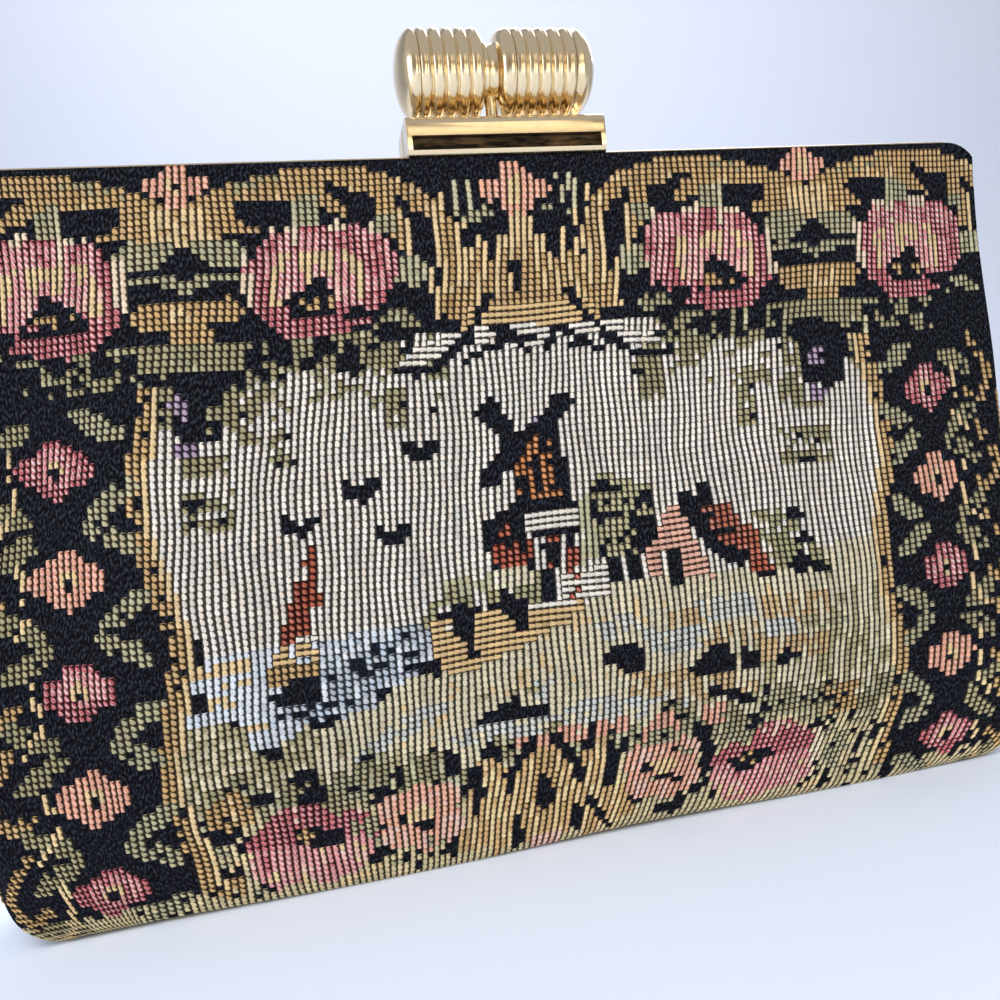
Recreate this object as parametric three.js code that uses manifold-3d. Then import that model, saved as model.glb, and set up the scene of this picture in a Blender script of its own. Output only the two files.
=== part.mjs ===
// A small evening clutch: a pouch of woven tapestry cloth on a gilt two-part snap frame.
// One cloth runs down the front, under the base and up the back, and a folded gusset closes each side.
// Each frame half is a folded metal channel, hinged to the other by a pin at the end of its arms.
// A ribbed barrel knob stands on each half's clasp plate, and the two knobs snap past each other.
// Millimetres, +Z up, the front faces -Y, and the origin is the middle of the base where it rests.

import * as THREE from "three";
import { mergeVertices } from "three/addons/utils/BufferGeometryUtils.js";
import Module from "manifold-3d";

const wasm = await Module();
wasm.setup();

// Driving dimensions of the pouch
const clothHeight = 129; // from the base to the cloth's top edge
const clothWidth = 204; // at its widest, below the hinges
const clothThickness = 1.4;
const topDepth = 14; // front cloth to back cloth at the top edge
const bulgeDepth = 9.1; // how far the front stands forward of its own top edge
const sideRollRadius = 5; // the cloth's turn towards the gusset seam
const gussetThickness = 1.2;
const gussetFold = 9; // how far the gusset's middle folds in, just below the hinge
const seamTurning = 0.4; // how far the seam's turnings hold the gusset off the cloth's edge

// Driving dimensions of the frame
const frameInset = 3.5; // from the cloth's widest part in to the frame's side
const frameRise = 1; // metal that shows above the cloth
const frameCornerRadius = 7;
const channelHeight = 6;
const channelWall = 0.8;
const armLength = 42; // from the frame's top to the hinge pin
const halfGap = 0.6; // between the two frame halves
const pinRadius = 1.5;
const pinClearance = 0.3;
const pinHeadRadius = 2.6;
const pinHeadLength = 0.9;
const eyeMargin = 0.8; // metal beyond the pin head at the end of an arm

// Driving dimensions of the clasp
const plateLength = 37.2;
const plateHeight = 6.3;
const plateWall = 0.9;
const plateWindow = 2.7; // the open slot under the plate's front lip
const plateEdgeRadius = 1.6;
const knobRadius = 7.9;
const knobClearance = 1.7; // under the knobs, above the plates
const knobSpan = 38; // end to end over both knobs
const ribCount = 5;
const ribPitch = 2.36;
const ribDepth = 0.7;
const leftDome = 3.9; // length of the left knob's smooth end
const waistLength = 2.7;
const waistRadius = 5.2;
const shoulderLength = 2.8; // the smooth shoulder between the waist and the right knob's ribs
const stemRadius = 1.1;
const knobSides = 24;

const seatGap = 0.3; // between pieces that touch on the real thing

// The front's line from base to top edge, shares of clothHeight and of bulgeDepth. "edge" is the share of
// the bulge left at the side seam, "inset" narrows each side as a share of clothWidth, and "turn" is how
// far the side rolls towards the gusset, from 0 at the frame's arms to 1.
const FRONT_SECTIONS = [
  { height: 0, bulge: 0.11, edge: 0.11, inset: 0.047, turn: 0 },
  { height: 0.01, bulge: 0.21, edge: 0.19, inset: 0.036, turn: 0.05 },
  { height: 0.035, bulge: 0.31, edge: 0.27, inset: 0.021, turn: 0.3 },
  { height: 0.075, bulge: 0.43, edge: 0.36, inset: 0.009, turn: 0.7 },
  { height: 0.13, bulge: 0.62, edge: 0.47, inset: 0.002, turn: 0.95 },
  { height: 0.205, bulge: 0.86, edge: 0.56, inset: 0, turn: 1 },
  { height: 0.338, bulge: 1, edge: 0.54, inset: 0, turn: 1 },
  { height: 0.471, bulge: 0.945, edge: 0.38, inset: 0.005, turn: 0.85 },
  { height: 0.605, bulge: 0.79, edge: 0.23, inset: 0.013, turn: 0.4 },
  { height: 0.736, bulge: 0.593, edge: 0.14, inset: 0.02, turn: 0.03 },
  { height: 0.868, bulge: 0.352, edge: 0.02, inset: 0.022, turn: 0 },
  { height: 1, bulge: 0, edge: 0, inset: 0.022, turn: 0 },
];
const flatShare = 0.56; // of the half width, over which the front keeps its full bulge

const frameWidth = clothWidth - 2 * frameInset;
const knobAxisZ = clothHeight + frameRise + seatGap + plateHeight + knobClearance + knobRadius;
const frameTop = clothHeight + frameRise;
const channelDepth = (topDepth - halfGap) / 2 - clothThickness - seatGap;
const hingeZ = frameTop - armLength;

// A smooth curve through one column of a table whose rows rise in "height".
function along(table, column, height) {
  const last = table.length - 1;
  let row = 0;
  while (row < last - 1 && table[row + 1].height < height) row += 1;
  const [a, b] = [table[row], table[row + 1]];
  const before = table[Math.max(row - 1, 0)];
  const after = table[Math.min(row + 2, last)];
  const span = b.height - a.height;
  const slopeA = row === 0 ? (b[column] - a[column]) / span : (b[column] - before[column]) / (b.height - before.height);
  const slopeB =
    row + 1 === last ? (b[column] - a[column]) / span : (after[column] - a[column]) / (after.height - a.height);
  const t = Math.min(Math.max((height - a.height) / span, 0), 1);
  const [t2, t3] = [t * t, t * t * t];
  return (
    (2 * t3 - 3 * t2 + 1) * a[column] +
    (t3 - 2 * t2 + t) * span * slopeA +
    (3 * t2 - 2 * t3) * b[column] +
    (t3 - t2) * span * slopeB
  );
}

const smooth = (t) => {
  const u = Math.min(Math.max(t, 0), 1);
  return u * u * (3 - 2 * u);
};

// The cloth's section at a height share: its half depth at a distance from the middle, and its side roll.
function sectionAt(share) {
  const halfWidth = (0.5 - Math.max(along(FRONT_SECTIONS, "inset", share), 0)) * clothWidth;
  const roll = (Math.PI / 2) * Math.min(Math.max(along(FRONT_SECTIONS, "turn", share), 0), 1);
  const flatHalf = halfWidth - sideRollRadius * Math.sin(roll);
  const middle = topDepth / 2 + bulgeDepth * along(FRONT_SECTIONS, "bulge", share);
  const edge = topDepth / 2 + bulgeDepth * Math.max(along(FRONT_SECTIONS, "edge", share), 0);
  const depthAt = (x) => middle + (edge - middle) * smooth((x / flatHalf - flatShare) / (1 - flatShare));
  return { halfWidth, roll, flatHalf, edge, depthAt, seamDepth: edge - sideRollRadius * (1 - Math.cos(roll)) };
}

// A point of the front's outer face. across runs from -1 to 1 along the cloth, side roll and all.
function frontPoint(across, share) {
  const s = sectionAt(share);
  const run = Math.abs(across) * (s.flatHalf + sideRollRadius * s.roll);
  const z = share * clothHeight;
  if (run <= s.flatHalf) return [Math.sign(across) * run, -s.depthAt(run), z];
  const angle = (run - s.flatHalf) / sideRollRadius;
  const x = s.flatHalf + sideRollRadius * Math.sin(angle);
  return [Math.sign(across) * x, -s.edge + sideRollRadius * (1 - Math.cos(angle)), z];
}

// A closed sheet of the given thickness behind a grid of points whose normals face out.
function sheet(grid, thickness) {
  const rows = grid.length;
  const columns = grid[0].length;
  const at = (r, c) =>
    new THREE.Vector3(...grid[Math.min(Math.max(r, 0), rows - 1)][Math.min(Math.max(c, 0), columns - 1)]);
  const vertices = [];
  const normals = [];
  for (let r = 0; r < rows; r += 1)
    for (let c = 0; c < columns; c += 1) {
      const u = at(r, c + 1).sub(at(r, c - 1));
      const v = at(r + 1, c).sub(at(r - 1, c));
      normals.push(u.cross(v).normalize());
      vertices.push(at(r, c));
    }
  const count = vertices.length;
  for (let i = 0; i < count; i += 1) vertices.push(vertices[i].clone().addScaledVector(normals[i], -thickness));
  const index = [];
  const quad = (a, b, c, d) => index.push(a, b, c, a, c, d);
  const id = (r, c) => r * columns + c;
  for (let r = 0; r < rows - 1; r += 1)
    for (let c = 0; c < columns - 1; c += 1) {
      quad(id(r, c), id(r, c + 1), id(r + 1, c + 1), id(r + 1, c));
      quad(count + id(r, c), count + id(r + 1, c), count + id(r + 1, c + 1), count + id(r, c + 1));
    }
  for (let c = 0; c < columns - 1; c += 1) {
    quad(id(0, c), count + id(0, c), count + id(0, c + 1), id(0, c + 1));
    quad(id(rows - 1, c + 1), count + id(rows - 1, c + 1), count + id(rows - 1, c), id(rows - 1, c));
  }
  for (let r = 0; r < rows - 1; r += 1) {
    quad(id(r + 1, 0), count + id(r + 1, 0), count + id(r, 0), id(r, 0));
    quad(id(r, columns - 1), count + id(r, columns - 1), count + id(r + 1, columns - 1), id(r + 1, columns - 1));
  }
  const geometry = new THREE.BufferGeometry();
  geometry.setAttribute("position", new THREE.Float32BufferAttribute(vertices.flatMap((p) => p.toArray()), 3));
  geometry.setIndex(index);
  return geometry;
}

// The steps of the grid: closer together where the sides roll.
const rollShare = 0.09;
const [flatSteps, rollSteps] = [16, 4];
const acrossSteps = [];
for (let i = 0; i < rollSteps; i += 1) acrossSteps.push(-1 + (rollShare * i) / rollSteps);
for (let i = 0; i <= flatSteps; i += 1) acrossSteps.push((1 - rollShare) * ((2 * i) / flatSteps - 1));
for (let i = 1; i <= rollSteps; i += 1) acrossSteps.push(1 - rollShare + (rollShare * i) / rollSteps);
const heightSteps = [];
const betweenRows = 2;
for (let row = 0; row < FRONT_SECTIONS.length - 1; row += 1)
  for (let i = 0; i < betweenRows; i += 1) {
    const [low, high] = [FRONT_SECTIONS[row].height, FRONT_SECTIONS[row + 1].height];
    heightSteps.push(low + ((high - low) * i) / betweenRows);
  }
heightSteps.push(1);

// Down the back from its top edge, across the base and up the front, as one cloth.
function clothGrid() {
  const front = heightSteps.map((share) => acrossSteps.map((a) => frontPoint(a, share)));
  const back = [...front].reverse().map((row) => row.map(([x, y, z]) => [x, -y, z]));
  const baseMiddle = front[0].map(([x]) => [x, 0, 0]);
  return [...back, baseMiddle, ...front];
}

// A side gusset: seamed inside the cloth's side rolls, its middle folded in, most just below the hinge.
const gussetTop = (hingeZ - pinHeadRadius - 3.2) / clothHeight;
const gussetBase = (clothThickness + 2 * seatGap) / clothHeight;
function gussetGrid(side) {
  const [rows, columns] = [12, 8];
  const grid = [];
  for (let r = 0; r <= rows; r += 1) {
    const share = gussetTop + ((gussetBase - gussetTop) * r) / rows;
    const s = sectionAt(share);
    const [above, below] = [sectionAt(share + 0.01), sectionAt(Math.max(share - 0.01, 0))];
    const rise = (Math.min(share, 0.01) + 0.01) * clothHeight;
    const wall = (lean) => (clothThickness + seatGap) * Math.hypot(1, lean / rise);
    const seam = s.halfWidth - wall(above.halfWidth - below.halfWidth) - seamTurning;
    const reach = s.seamDepth - wall(above.seamDepth - below.seamDepth);
    const fold = seamTurning + gussetFold * smooth((share - gussetBase) / (gussetTop - gussetBase));
    const row = [];
    for (let c = 0; c <= columns; c += 1) {
      const v = (2 * c) / columns - 1;
      const x = seam - (fold * (1 + Math.cos(Math.PI * v))) / 2;
      row.push([side * x, -side * v * reach, share * clothHeight]);
    }
    grid.push(row);
  }
  return grid;
}

// A U of metal seen from the front: a band along the frame's outline, extruded from y0 to y1.
function frameBand(band, y0, y1, eyes) {
  const outer = frameWidth / 2;
  const inner = outer - band;
  const corner = frameCornerRadius;
  const innerCorner = Math.max(corner - band, 1);
  const [high, low] = [frameTop - corner, frameTop - band - innerCorner];
  const foot = eyes ? hingeZ - pinHeadRadius - eyeMargin : hingeZ + pinHeadRadius + eyeMargin;
  const eyeX = outer - channelHeight / 2;
  const shape = new THREE.Shape();
  shape.moveTo(-outer, foot);
  shape.lineTo(-inner, foot);
  shape.lineTo(-inner, low);
  shape.absarc(-inner + innerCorner, low, innerCorner, Math.PI, Math.PI / 2, true);
  shape.lineTo(inner - innerCorner, frameTop - band);
  shape.absarc(inner - innerCorner, low, innerCorner, Math.PI / 2, 0, true);
  shape.lineTo(inner, foot);
  shape.lineTo(outer, foot);
  shape.lineTo(outer, high);
  shape.absarc(outer - corner, high, corner, 0, Math.PI / 2, false);
  shape.lineTo(-outer + corner, frameTop);
  shape.absarc(-outer + corner, high, corner, Math.PI / 2, Math.PI, false);
  shape.closePath();
  if (eyes)
    for (const x of [-eyeX, eyeX]) {
      const hole = new THREE.Path();
      hole.absarc(x, hingeZ, pinRadius + pinClearance, 0, 2 * Math.PI, true);
      shape.holes.push(hole);
    }
  const geometry = new THREE.ExtrudeGeometry(shape, { depth: y1 - y0, bevelEnabled: false, curveSegments: 7 });
  geometry.rotateX(Math.PI / 2);
  geometry.translate(0, y1, 0);
  return geometry;
}

function solid(geometry) {
  const bare = geometry.clone();
  bare.deleteAttribute("normal");
  bare.deleteAttribute("uv");
  const merged = mergeVertices(bare, 1e-4);
  const corners = [...merged.index.array];
  const kept = [];
  for (let i = 0; i < corners.length; i += 3) {
    const [a, b, c] = corners.slice(i, i + 3);
    if (a !== b && b !== c && c !== a) kept.push(a, b, c);
  }
  return new wasm.Manifold(
    new wasm.Mesh({
      numProp: 3,
      vertProperties: new Float32Array(merged.attributes.position.array),
      triVerts: new Uint32Array(kept),
    }),
  );
}

function geometryOf(made) {
  const mesh = made.getMesh();
  const geometry = new THREE.BufferGeometry();
  geometry.setAttribute("position", new THREE.BufferAttribute(new Float32Array(mesh.vertProperties), 3));
  geometry.setIndex(new THREE.BufferAttribute(new Uint32Array(mesh.triVerts), 1));
  return geometry;
}

function box(x0, x1, y0, y1, z0, z1) {
  const geometry = new THREE.BoxGeometry(x1 - x0, y1 - y0, z1 - z0);
  geometry.translate((x0 + x1) / 2, (y0 + y1) / 2, (z0 + z1) / 2);
  return geometry;
}

// One frame half: a channel open towards the pouch, its two flanges joined by the outer web.
function frameHalf() {
  const front = -halfGap / 2 - channelDepth;
  const back = -halfGap / 2;
  const frontFlange = solid(frameBand(channelHeight, front, front + channelWall, true));
  const backFlange = solid(frameBand(channelHeight, back - channelWall, back, true));
  const web = solid(frameBand(channelWall, front + channelWall / 2, back - channelWall / 2, false));
  return geometryOf(frontFlange.add(web).add(backFlange));
}

// A headed pin through the four flanges, lying along Y.
function hingePin() {
  const reach = halfGap / 2 + channelDepth + pinClearance;
  const end = reach + pinHeadLength;
  const half = [
    [0, end],
    [pinHeadRadius * 0.7, end],
    [pinHeadRadius, end - pinHeadLength / 2],
    [pinHeadRadius, reach],
    [pinRadius, reach],
  ];
  const profile = [...half.map(([radius, y]) => [radius, -y]), ...half.reverse()];
  return new THREE.LatheGeometry(
    profile.map(([radius, y]) => new THREE.Vector2(radius, y)),
    16,
  );
}

// The clasp plate of the front half: a pressed cover over the frame with a rounded front edge and a slot under its lip.
function claspPlate() {
  const front = -topDepth / 2 + 0.2;
  const back = -halfGap / 2;
  const low = frameTop + seatGap;
  const top = low + plateHeight;
  const outline = new THREE.Shape();
  outline.moveTo(back, low);
  outline.lineTo(back, top);
  outline.lineTo(front + plateEdgeRadius, top);
  outline.absarc(front + plateEdgeRadius, top - plateEdgeRadius, plateEdgeRadius, Math.PI / 2, Math.PI, false);
  outline.lineTo(front, low);
  outline.closePath();
  const block = new THREE.ExtrudeGeometry(outline, { depth: plateLength, bevelEnabled: false, curveSegments: 6 });
  block.rotateX(Math.PI / 2);
  block.rotateZ(Math.PI / 2);
  block.translate(-plateLength / 2, 0, 0);
  const inner = plateLength / 2 - plateWall;
  const hollow = box(-inner, inner, front + plateWall, back + 1, low - 1, top - plateWall);
  const slot = box(-inner, inner, front - 1, back + 1, low - 1, low + plateWindow);
  return geometryOf(solid(block).subtract(solid(hollow)).subtract(solid(slot)));
}

// The outline of one row of ribs from x0, as [radius, x] pairs: arcs that meet in narrow grooves.
function ribs(x0) {
  const points = [];
  const steps = 4;
  for (let rib = 0; rib < ribCount; rib += 1)
    for (let i = 0; i <= steps; i += 1) {
      if (rib > 0 && i === 0) continue;
      const rise = Math.sqrt(1 - ((2 * i) / steps - 1) ** 2);
      points.push([grooveRadius + ribDepth * rise, x0 + ribPitch * (rib + i / steps)]);
    }
  return points;
}

// A quarter ellipse of the outline, steep at [r0, x0] and level at [r1, x1], without its last point.
function dome(r0, x0, r1, x1) {
  const points = [];
  const steps = 6;
  for (let i = 0; i < steps; i += 1) {
    const angle = ((Math.PI / 2) * i) / steps;
    points.push([r0 + (r1 - r0) * Math.sin(angle), x1 + (x0 - x1) * Math.cos(angle)]);
  }
  return points;
}

const ribRow = ribCount * ribPitch;
const grooveRadius = knobRadius - ribDepth;
const leftRibs = leftDome - knobSpan / 2;
const waistStart = leftRibs + ribRow + seatGap;
const rightShoulder = waistStart + waistLength;
const rightRibs = rightShoulder + shoulderLength;
const stemPlace = halfGap + stemRadius; // from the middle plane out to a stem's axis
const leftStem = leftRibs + ribRow - ribPitch / 2; // under the left knob's last rib
const rightStem = waistStart + waistLength / 2; // under the waist, where the right knob begins

// A turned knob on its stem, which stands on one of the two clasp plates.
function knob(profile, stemX, stemY) {
  const body = new THREE.LatheGeometry(
    profile.map(([radius, x]) => new THREE.Vector2(radius, x)),
    knobSides,
  );
  body.rotateZ(-Math.PI / 2);
  body.translate(0, 0, knobAxisZ);
  const low = knobAxisZ - knobRadius - knobClearance + seatGap;
  const stemHeight = knobAxisZ - knobRadius / 2 - low;
  const stem = new THREE.CylinderGeometry(stemRadius, stemRadius, stemHeight, 16);
  stem.rotateX(Math.PI / 2);
  stem.translate(stemX, stemY, low + stemHeight / 2);
  return geometryOf(solid(body).add(solid(stem)));
}

function leftKnob() {
  const profile = [...dome(0, -knobSpan / 2, knobRadius, leftRibs), ...ribs(leftRibs), [0, leftRibs + ribRow]];
  return knob(profile, leftStem, stemPlace);
}

function rightKnob() {
  const profile = [
    [0, waistStart],
    [waistRadius + 0.5, waistStart],
    [waistRadius, waistStart + waistLength * 0.4],
    [waistRadius, waistStart + waistLength * 0.7],
    ...dome(waistRadius + 0.3, rightShoulder, knobRadius, rightRibs),
    ...ribs(rightRibs),
    ...dome(0, knobSpan / 2, knobRadius, rightRibs + ribRow).reverse(),
  ];
  return knob(profile, rightStem, -stemPlace);
}

const gilt = new THREE.MeshStandardMaterial({ color: 0xd9b877, roughness: 0.22, metalness: 1 });
const tapestry = new THREE.MeshStandardMaterial({ color: 0x8f8664, roughness: 0.9, metalness: 0 });
const gussetCloth = new THREE.MeshStandardMaterial({ color: 0x1b1b22, roughness: 0.95, metalness: 0 });

const clutch = new THREE.Group();
function piece(name, geometry, material, place = {}) {
  const mesh = new THREE.Mesh(geometry, material);
  mesh.name = name;
  mesh.position.set(place.x ?? 0, place.y ?? 0, place.z ?? 0);
  mesh.rotation.z = place.turn ?? 0;
  clutch.add(mesh);
}

piece("tapestry_wrap", sheet(clothGrid(), clothThickness), tapestry);
piece("gusset_left", sheet(gussetGrid(-1), gussetThickness), gussetCloth);
piece("gusset_right", sheet(gussetGrid(1), gussetThickness), gussetCloth);
piece("frame_front", frameHalf(), gilt);
piece("frame_back", frameHalf(), gilt, { turn: Math.PI });
const hingeX = frameWidth / 2 - channelHeight / 2;
piece("hinge_pin_left", hingePin(), gilt, { x: -hingeX, z: hingeZ });
piece("hinge_pin_right", hingePin(), gilt, { x: hingeX, z: hingeZ });
piece("clasp_plate_front", claspPlate(), gilt);
piece("clasp_plate_back", claspPlate(), gilt, { turn: Math.PI });
piece("clasp_knob_left", leftKnob(), gilt);
piece("clasp_knob_right", rightKnob(), gilt);

export default clutch;
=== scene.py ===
# A tapestry clutch on a gilt snap frame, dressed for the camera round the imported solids.
# Metres throughout; sizes of small parts are given in millimetres and scaled where they are used.
import math

import bpy
import numpy as np
from mathutils import Matrix, Vector


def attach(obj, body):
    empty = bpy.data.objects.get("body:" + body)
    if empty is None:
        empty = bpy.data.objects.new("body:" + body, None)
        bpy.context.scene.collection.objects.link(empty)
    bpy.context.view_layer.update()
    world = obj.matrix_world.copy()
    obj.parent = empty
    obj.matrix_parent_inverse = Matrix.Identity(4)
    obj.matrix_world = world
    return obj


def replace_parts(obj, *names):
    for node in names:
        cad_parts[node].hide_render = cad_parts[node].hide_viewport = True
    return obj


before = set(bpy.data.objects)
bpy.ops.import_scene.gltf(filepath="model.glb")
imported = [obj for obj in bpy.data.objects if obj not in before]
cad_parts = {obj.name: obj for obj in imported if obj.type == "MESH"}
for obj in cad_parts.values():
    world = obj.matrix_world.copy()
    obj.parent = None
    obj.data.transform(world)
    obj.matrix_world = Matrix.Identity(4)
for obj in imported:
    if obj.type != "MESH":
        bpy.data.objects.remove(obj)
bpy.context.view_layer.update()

# The camera stands a little left of the clutch and above its middle, close in, as a phone is held.
# The clutch leans clockwise in the frame because the phone was tipped.
MM = 0.001
camera = bpy.data.objects.new("camera", bpy.data.cameras.new("camera"))
bpy.context.scene.collection.objects.link(camera)
bpy.context.scene.camera = camera
camera.data.sensor_width = 36
camera.data.lens = 29.66
right, up, ahead = (
    Vector((0.97339, -0.20661, -0.09916)),
    Vector((0.11198, 0.05128, 0.99239)),
    Vector((0.19995, 0.97708, -0.07305)),
)
turn = Matrix((right, up, -ahead)).transposed().to_4x4()
camera.matrix_world = Matrix.Translation(Vector((-39.0, -156.3, 77.9)) * MM) @ turn
camera.data.clip_start = 0.01
camera.data.clip_end = 20
bpy.context.scene.view_settings.view_transform = "Standard"


# A seamless sheet of pale paper: flat under the clutch, then swept up behind it.
# Matt and almost white, with the faint mottling that paper has.
def linear(hexcode, alpha=1.0):
    """An sRGB hex colour as linear values."""
    parts = [int(hexcode[i : i + 2], 16) / 255 for i in (1, 3, 5)]
    return tuple(c / 12.92 if c <= 0.04045 else ((c + 0.055) / 1.055) ** 2.4 for c in parts) + (alpha,)


def node(tree, kind, settings=None, **inputs):
    """Adds one shader node. An input is a value or another node's output socket, keyed by name or index."""
    made = tree.nodes.new(kind)
    for key, value in (settings or {}).items():
        setattr(made, key, value)
    for key, value in inputs.items():
        socket = made.inputs[int(key[1:]) if key[0] == "i" and key[1:].isdigit() else key.replace("_", " ")]
        if isinstance(value, bpy.types.NodeSocket):
            tree.links.new(value, socket)
        else:
            socket.default_value = value
    return made


def maths(tree, operation, *values):
    """One step of arithmetic on numbers and output sockets."""
    inputs = {f"i{k}": value for k, value in enumerate(values)}
    return node(tree, "ShaderNodeMath", {"operation": operation}, **inputs).outputs[0]


def ramp(tree, value, low, high, first=0.0, last=1.0, kind="LINEAR"):
    """Turns the range from low to high into the range from first to last."""
    settings = {"interpolation_type": kind}
    return node(tree, "ShaderNodeMapRange", settings, i0=value, i1=low, i2=high, i3=first, i4=last).outputs[0]


def blend(tree, share, first, second):
    """Mixes two colours, each a hex code or an output socket."""
    first, second = (linear(c) if isinstance(c, str) else c for c in (first, second))
    return node(tree, "ShaderNodeMixRGB", Fac=share, Color1=first, Color2=second).outputs[0]


def finish(tree, shader, colour, height, strength, distance, roughness):
    """Links a colour and a bumpy surface to the shader. Roughness is a number or an output socket."""
    relief = node(tree, "ShaderNodeBump", Strength=strength, Distance=distance, Height=height)
    tree.links.new(colour, shader.inputs["Base Color"])
    tree.links.new(relief.outputs[0], shader.inputs["Normal"])
    if isinstance(roughness, float):
        shader.inputs["Roughness"].default_value = roughness
    else:
        tree.links.new(roughness, shader.inputs["Roughness"])


def start_material(name):
    """A material with its Principled shader alone, ready to link."""
    made = bpy.data.materials.new(name)
    made.use_nodes = True
    return made, made.node_tree, made.node_tree.nodes["Principled BSDF"]


def mesh_object(name, points, faces, smooth=True):
    """Links one mesh made from points in millimetres."""
    mesh = bpy.data.meshes.new(name)
    mesh.from_pydata([tuple(c * MM for c in p) for p in points], [], faces)
    if smooth:
        mesh.shade_smooth()
    made = bpy.data.objects.new(name, mesh)
    bpy.context.scene.collection.objects.link(made)
    return made


paper, tree, shader = start_material("matt_background_paper")
mottle = node(tree, "ShaderNodeTexNoise", Scale=9.0, Detail=3.0)
tree.links.new(blend(tree, mottle.outputs["Fac"], "#e3ecf8", "#e8f0fb"), shader.inputs["Base Color"])
shader.inputs["Roughness"].default_value = 0.9
sweep = [(-2500, 0), (900, 0)]
sweep += [(900 + 700 * math.sin(a), 700 - 700 * math.cos(a)) for a in np.radians(np.arange(6, 91, 6))]
sweep.append((1600, 3500))
points = [(x, y, z) for y, z in sweep for x in (-3500, 3500)]
faces = [(2 * i, 2 * i + 1, 2 * i + 3, 2 * i + 2) for i in range(len(sweep) - 1)]
background = mesh_object("paper_sweep", points, faces)
background.data.materials.append(paper)

# Studio light: a big soft box above and in front, smaller ones at the left, the back and over the backdrop,
# and a white room all round. The room is brown behind the camera, for the brown lines in polished metal.
world = bpy.data.worlds.new("studio")
bpy.context.scene.world = world
world.use_nodes = True
tree = world.node_tree
tree.nodes.clear()
where = node(tree, "ShaderNodeTexCoord")
axis = node(tree, "ShaderNodeSeparateXYZ", Vector=where.outputs["Generated"])
behind = ramp(tree, axis.outputs["Y"], -0.9, -0.35)
above = ramp(tree, axis.outputs["Z"], 0.15, 0.6)
room = blend(tree, maths(tree, "MAXIMUM", behind, above), "#bda897", "#eef3ff")
glow = node(tree, "ShaderNodeBackground", Color=room, Strength=0.58)
node(tree, "ShaderNodeOutputWorld", Surface=glow.outputs[0])


def soft_box(name, place, aim, size, watts, colour):
    light = bpy.data.lights.new(name, "AREA")
    light.shape = "RECTANGLE"
    light.size, light.size_y = size
    light.energy = watts
    light.color = linear(colour)[:3]
    made = bpy.data.objects.new(name, light)
    made.location = place
    made.rotation_euler = (Vector(aim) - Vector(place)).to_track_quat("-Z", "Y").to_euler()
    bpy.context.scene.collection.objects.link(made)
    return made


key_box = soft_box("key_box", (-0.25, -0.55, 0.75), (0, 0, 0.07), (0.7, 0.5), 5.6, "#fbfaff")
key_box.visible_glossy = False
soft_box("side_box", (-0.75, -0.2, 0.25), (0, 0, 0.08), (0.4, 0.5), 2.0, "#eef3ff")
soft_box("back_box", (0.35, 0.6, 0.7), (0, 0, 0.08), (0.6, 0.5), 3.0, "#f4f7ff")
# two boxes hang where polished metal doesn't mirror them, and a low card is there for the metal alone:
# it is the bright middle of each rib
backdrop_box = soft_box("backdrop_box", (0.45, 0.55, 1.4), (0.8, 1.5, 0.4), (2.2, 0.8), 12.2, "#fff9fd")
backdrop_box.visible_glossy = False
low_card = soft_box("low_card", (0.13, -0.52, 0.10), (0, 0, 0.14), (0.45, 0.2), 0.5, "#fbffea")
low_card.visible_diffuse = False
soft_box("front_card", (0.21, -0.86, 0.46), (0, 0, 0.14), (0.5, 0.26), 0.5, "#fff1d8")

# The tapestry: one wool and cotton cloth, woven on a loom with raised cords, cut once and wrapped from the
# front's top edge under the base and up the back. It is drawn as two halves that meet along the base.
# Each half follows the sewn shape: flat where the frame grips it, full below, rolled in at the side seams.
CLOTH_HEIGHT, CLOTH_WIDTH, CLOTH_THICKNESS = 129.0, 204.0, 1.4
FRAME_WIDTH, FRAME_TOP, FRAME_CORNER = 197.0, 130.0, 7.0
TOP_DEPTH, BULGE_DEPTH, SIDE_ROLL = 14.0, 9.1, 5.0
FLAT_SHARE = 0.56
SECTION_COLUMNS = ("height", "bulge", "edge", "inset", "turn")
SECTIONS = (
    (0, 0.11, 0.11, 0.047, 0),
    (0.01, 0.21, 0.19, 0.036, 0.05),
    (0.035, 0.31, 0.27, 0.021, 0.3),
    (0.075, 0.43, 0.36, 0.009, 0.7),
    (0.13, 0.62, 0.47, 0.002, 0.95),
    (0.205, 0.86, 0.56, 0, 1),
    (0.338, 1, 0.54, 0, 1),
    (0.471, 0.945, 0.38, 0.005, 0.85),
    (0.605, 0.79, 0.23, 0.013, 0.4),
    (0.736, 0.593, 0.14, 0.02, 0.03),
    (0.868, 0.352, 0.02, 0.022, 0),
    (1, 0, 0, 0.022, 0),
)
section = dict(zip(SECTION_COLUMNS, np.array(SECTIONS, dtype=float).T))


def along(column, share):
    """A smooth curve through one column of the section table."""
    h, v = section["height"], section[column]
    slope = np.empty_like(v)
    slope[1:-1] = (v[2:] - v[:-2]) / (h[2:] - h[:-2])
    slope[0] = (v[1] - v[0]) / (h[1] - h[0])
    slope[-1] = (v[-1] - v[-2]) / (h[-1] - h[-2])
    row = np.clip(np.searchsorted(h, share, side="right") - 1, 0, len(h) - 2)
    span = h[row + 1] - h[row]
    t = np.clip((share - h[row]) / span, 0, 1)
    return (
        (2 * t**3 - 3 * t**2 + 1) * v[row]
        + (t**3 - 2 * t**2 + t) * span * slope[row]
        + (3 * t**2 - 2 * t**3) * v[row + 1]
        + (t**3 - t**2) * span * slope[row + 1]
    )


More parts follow.
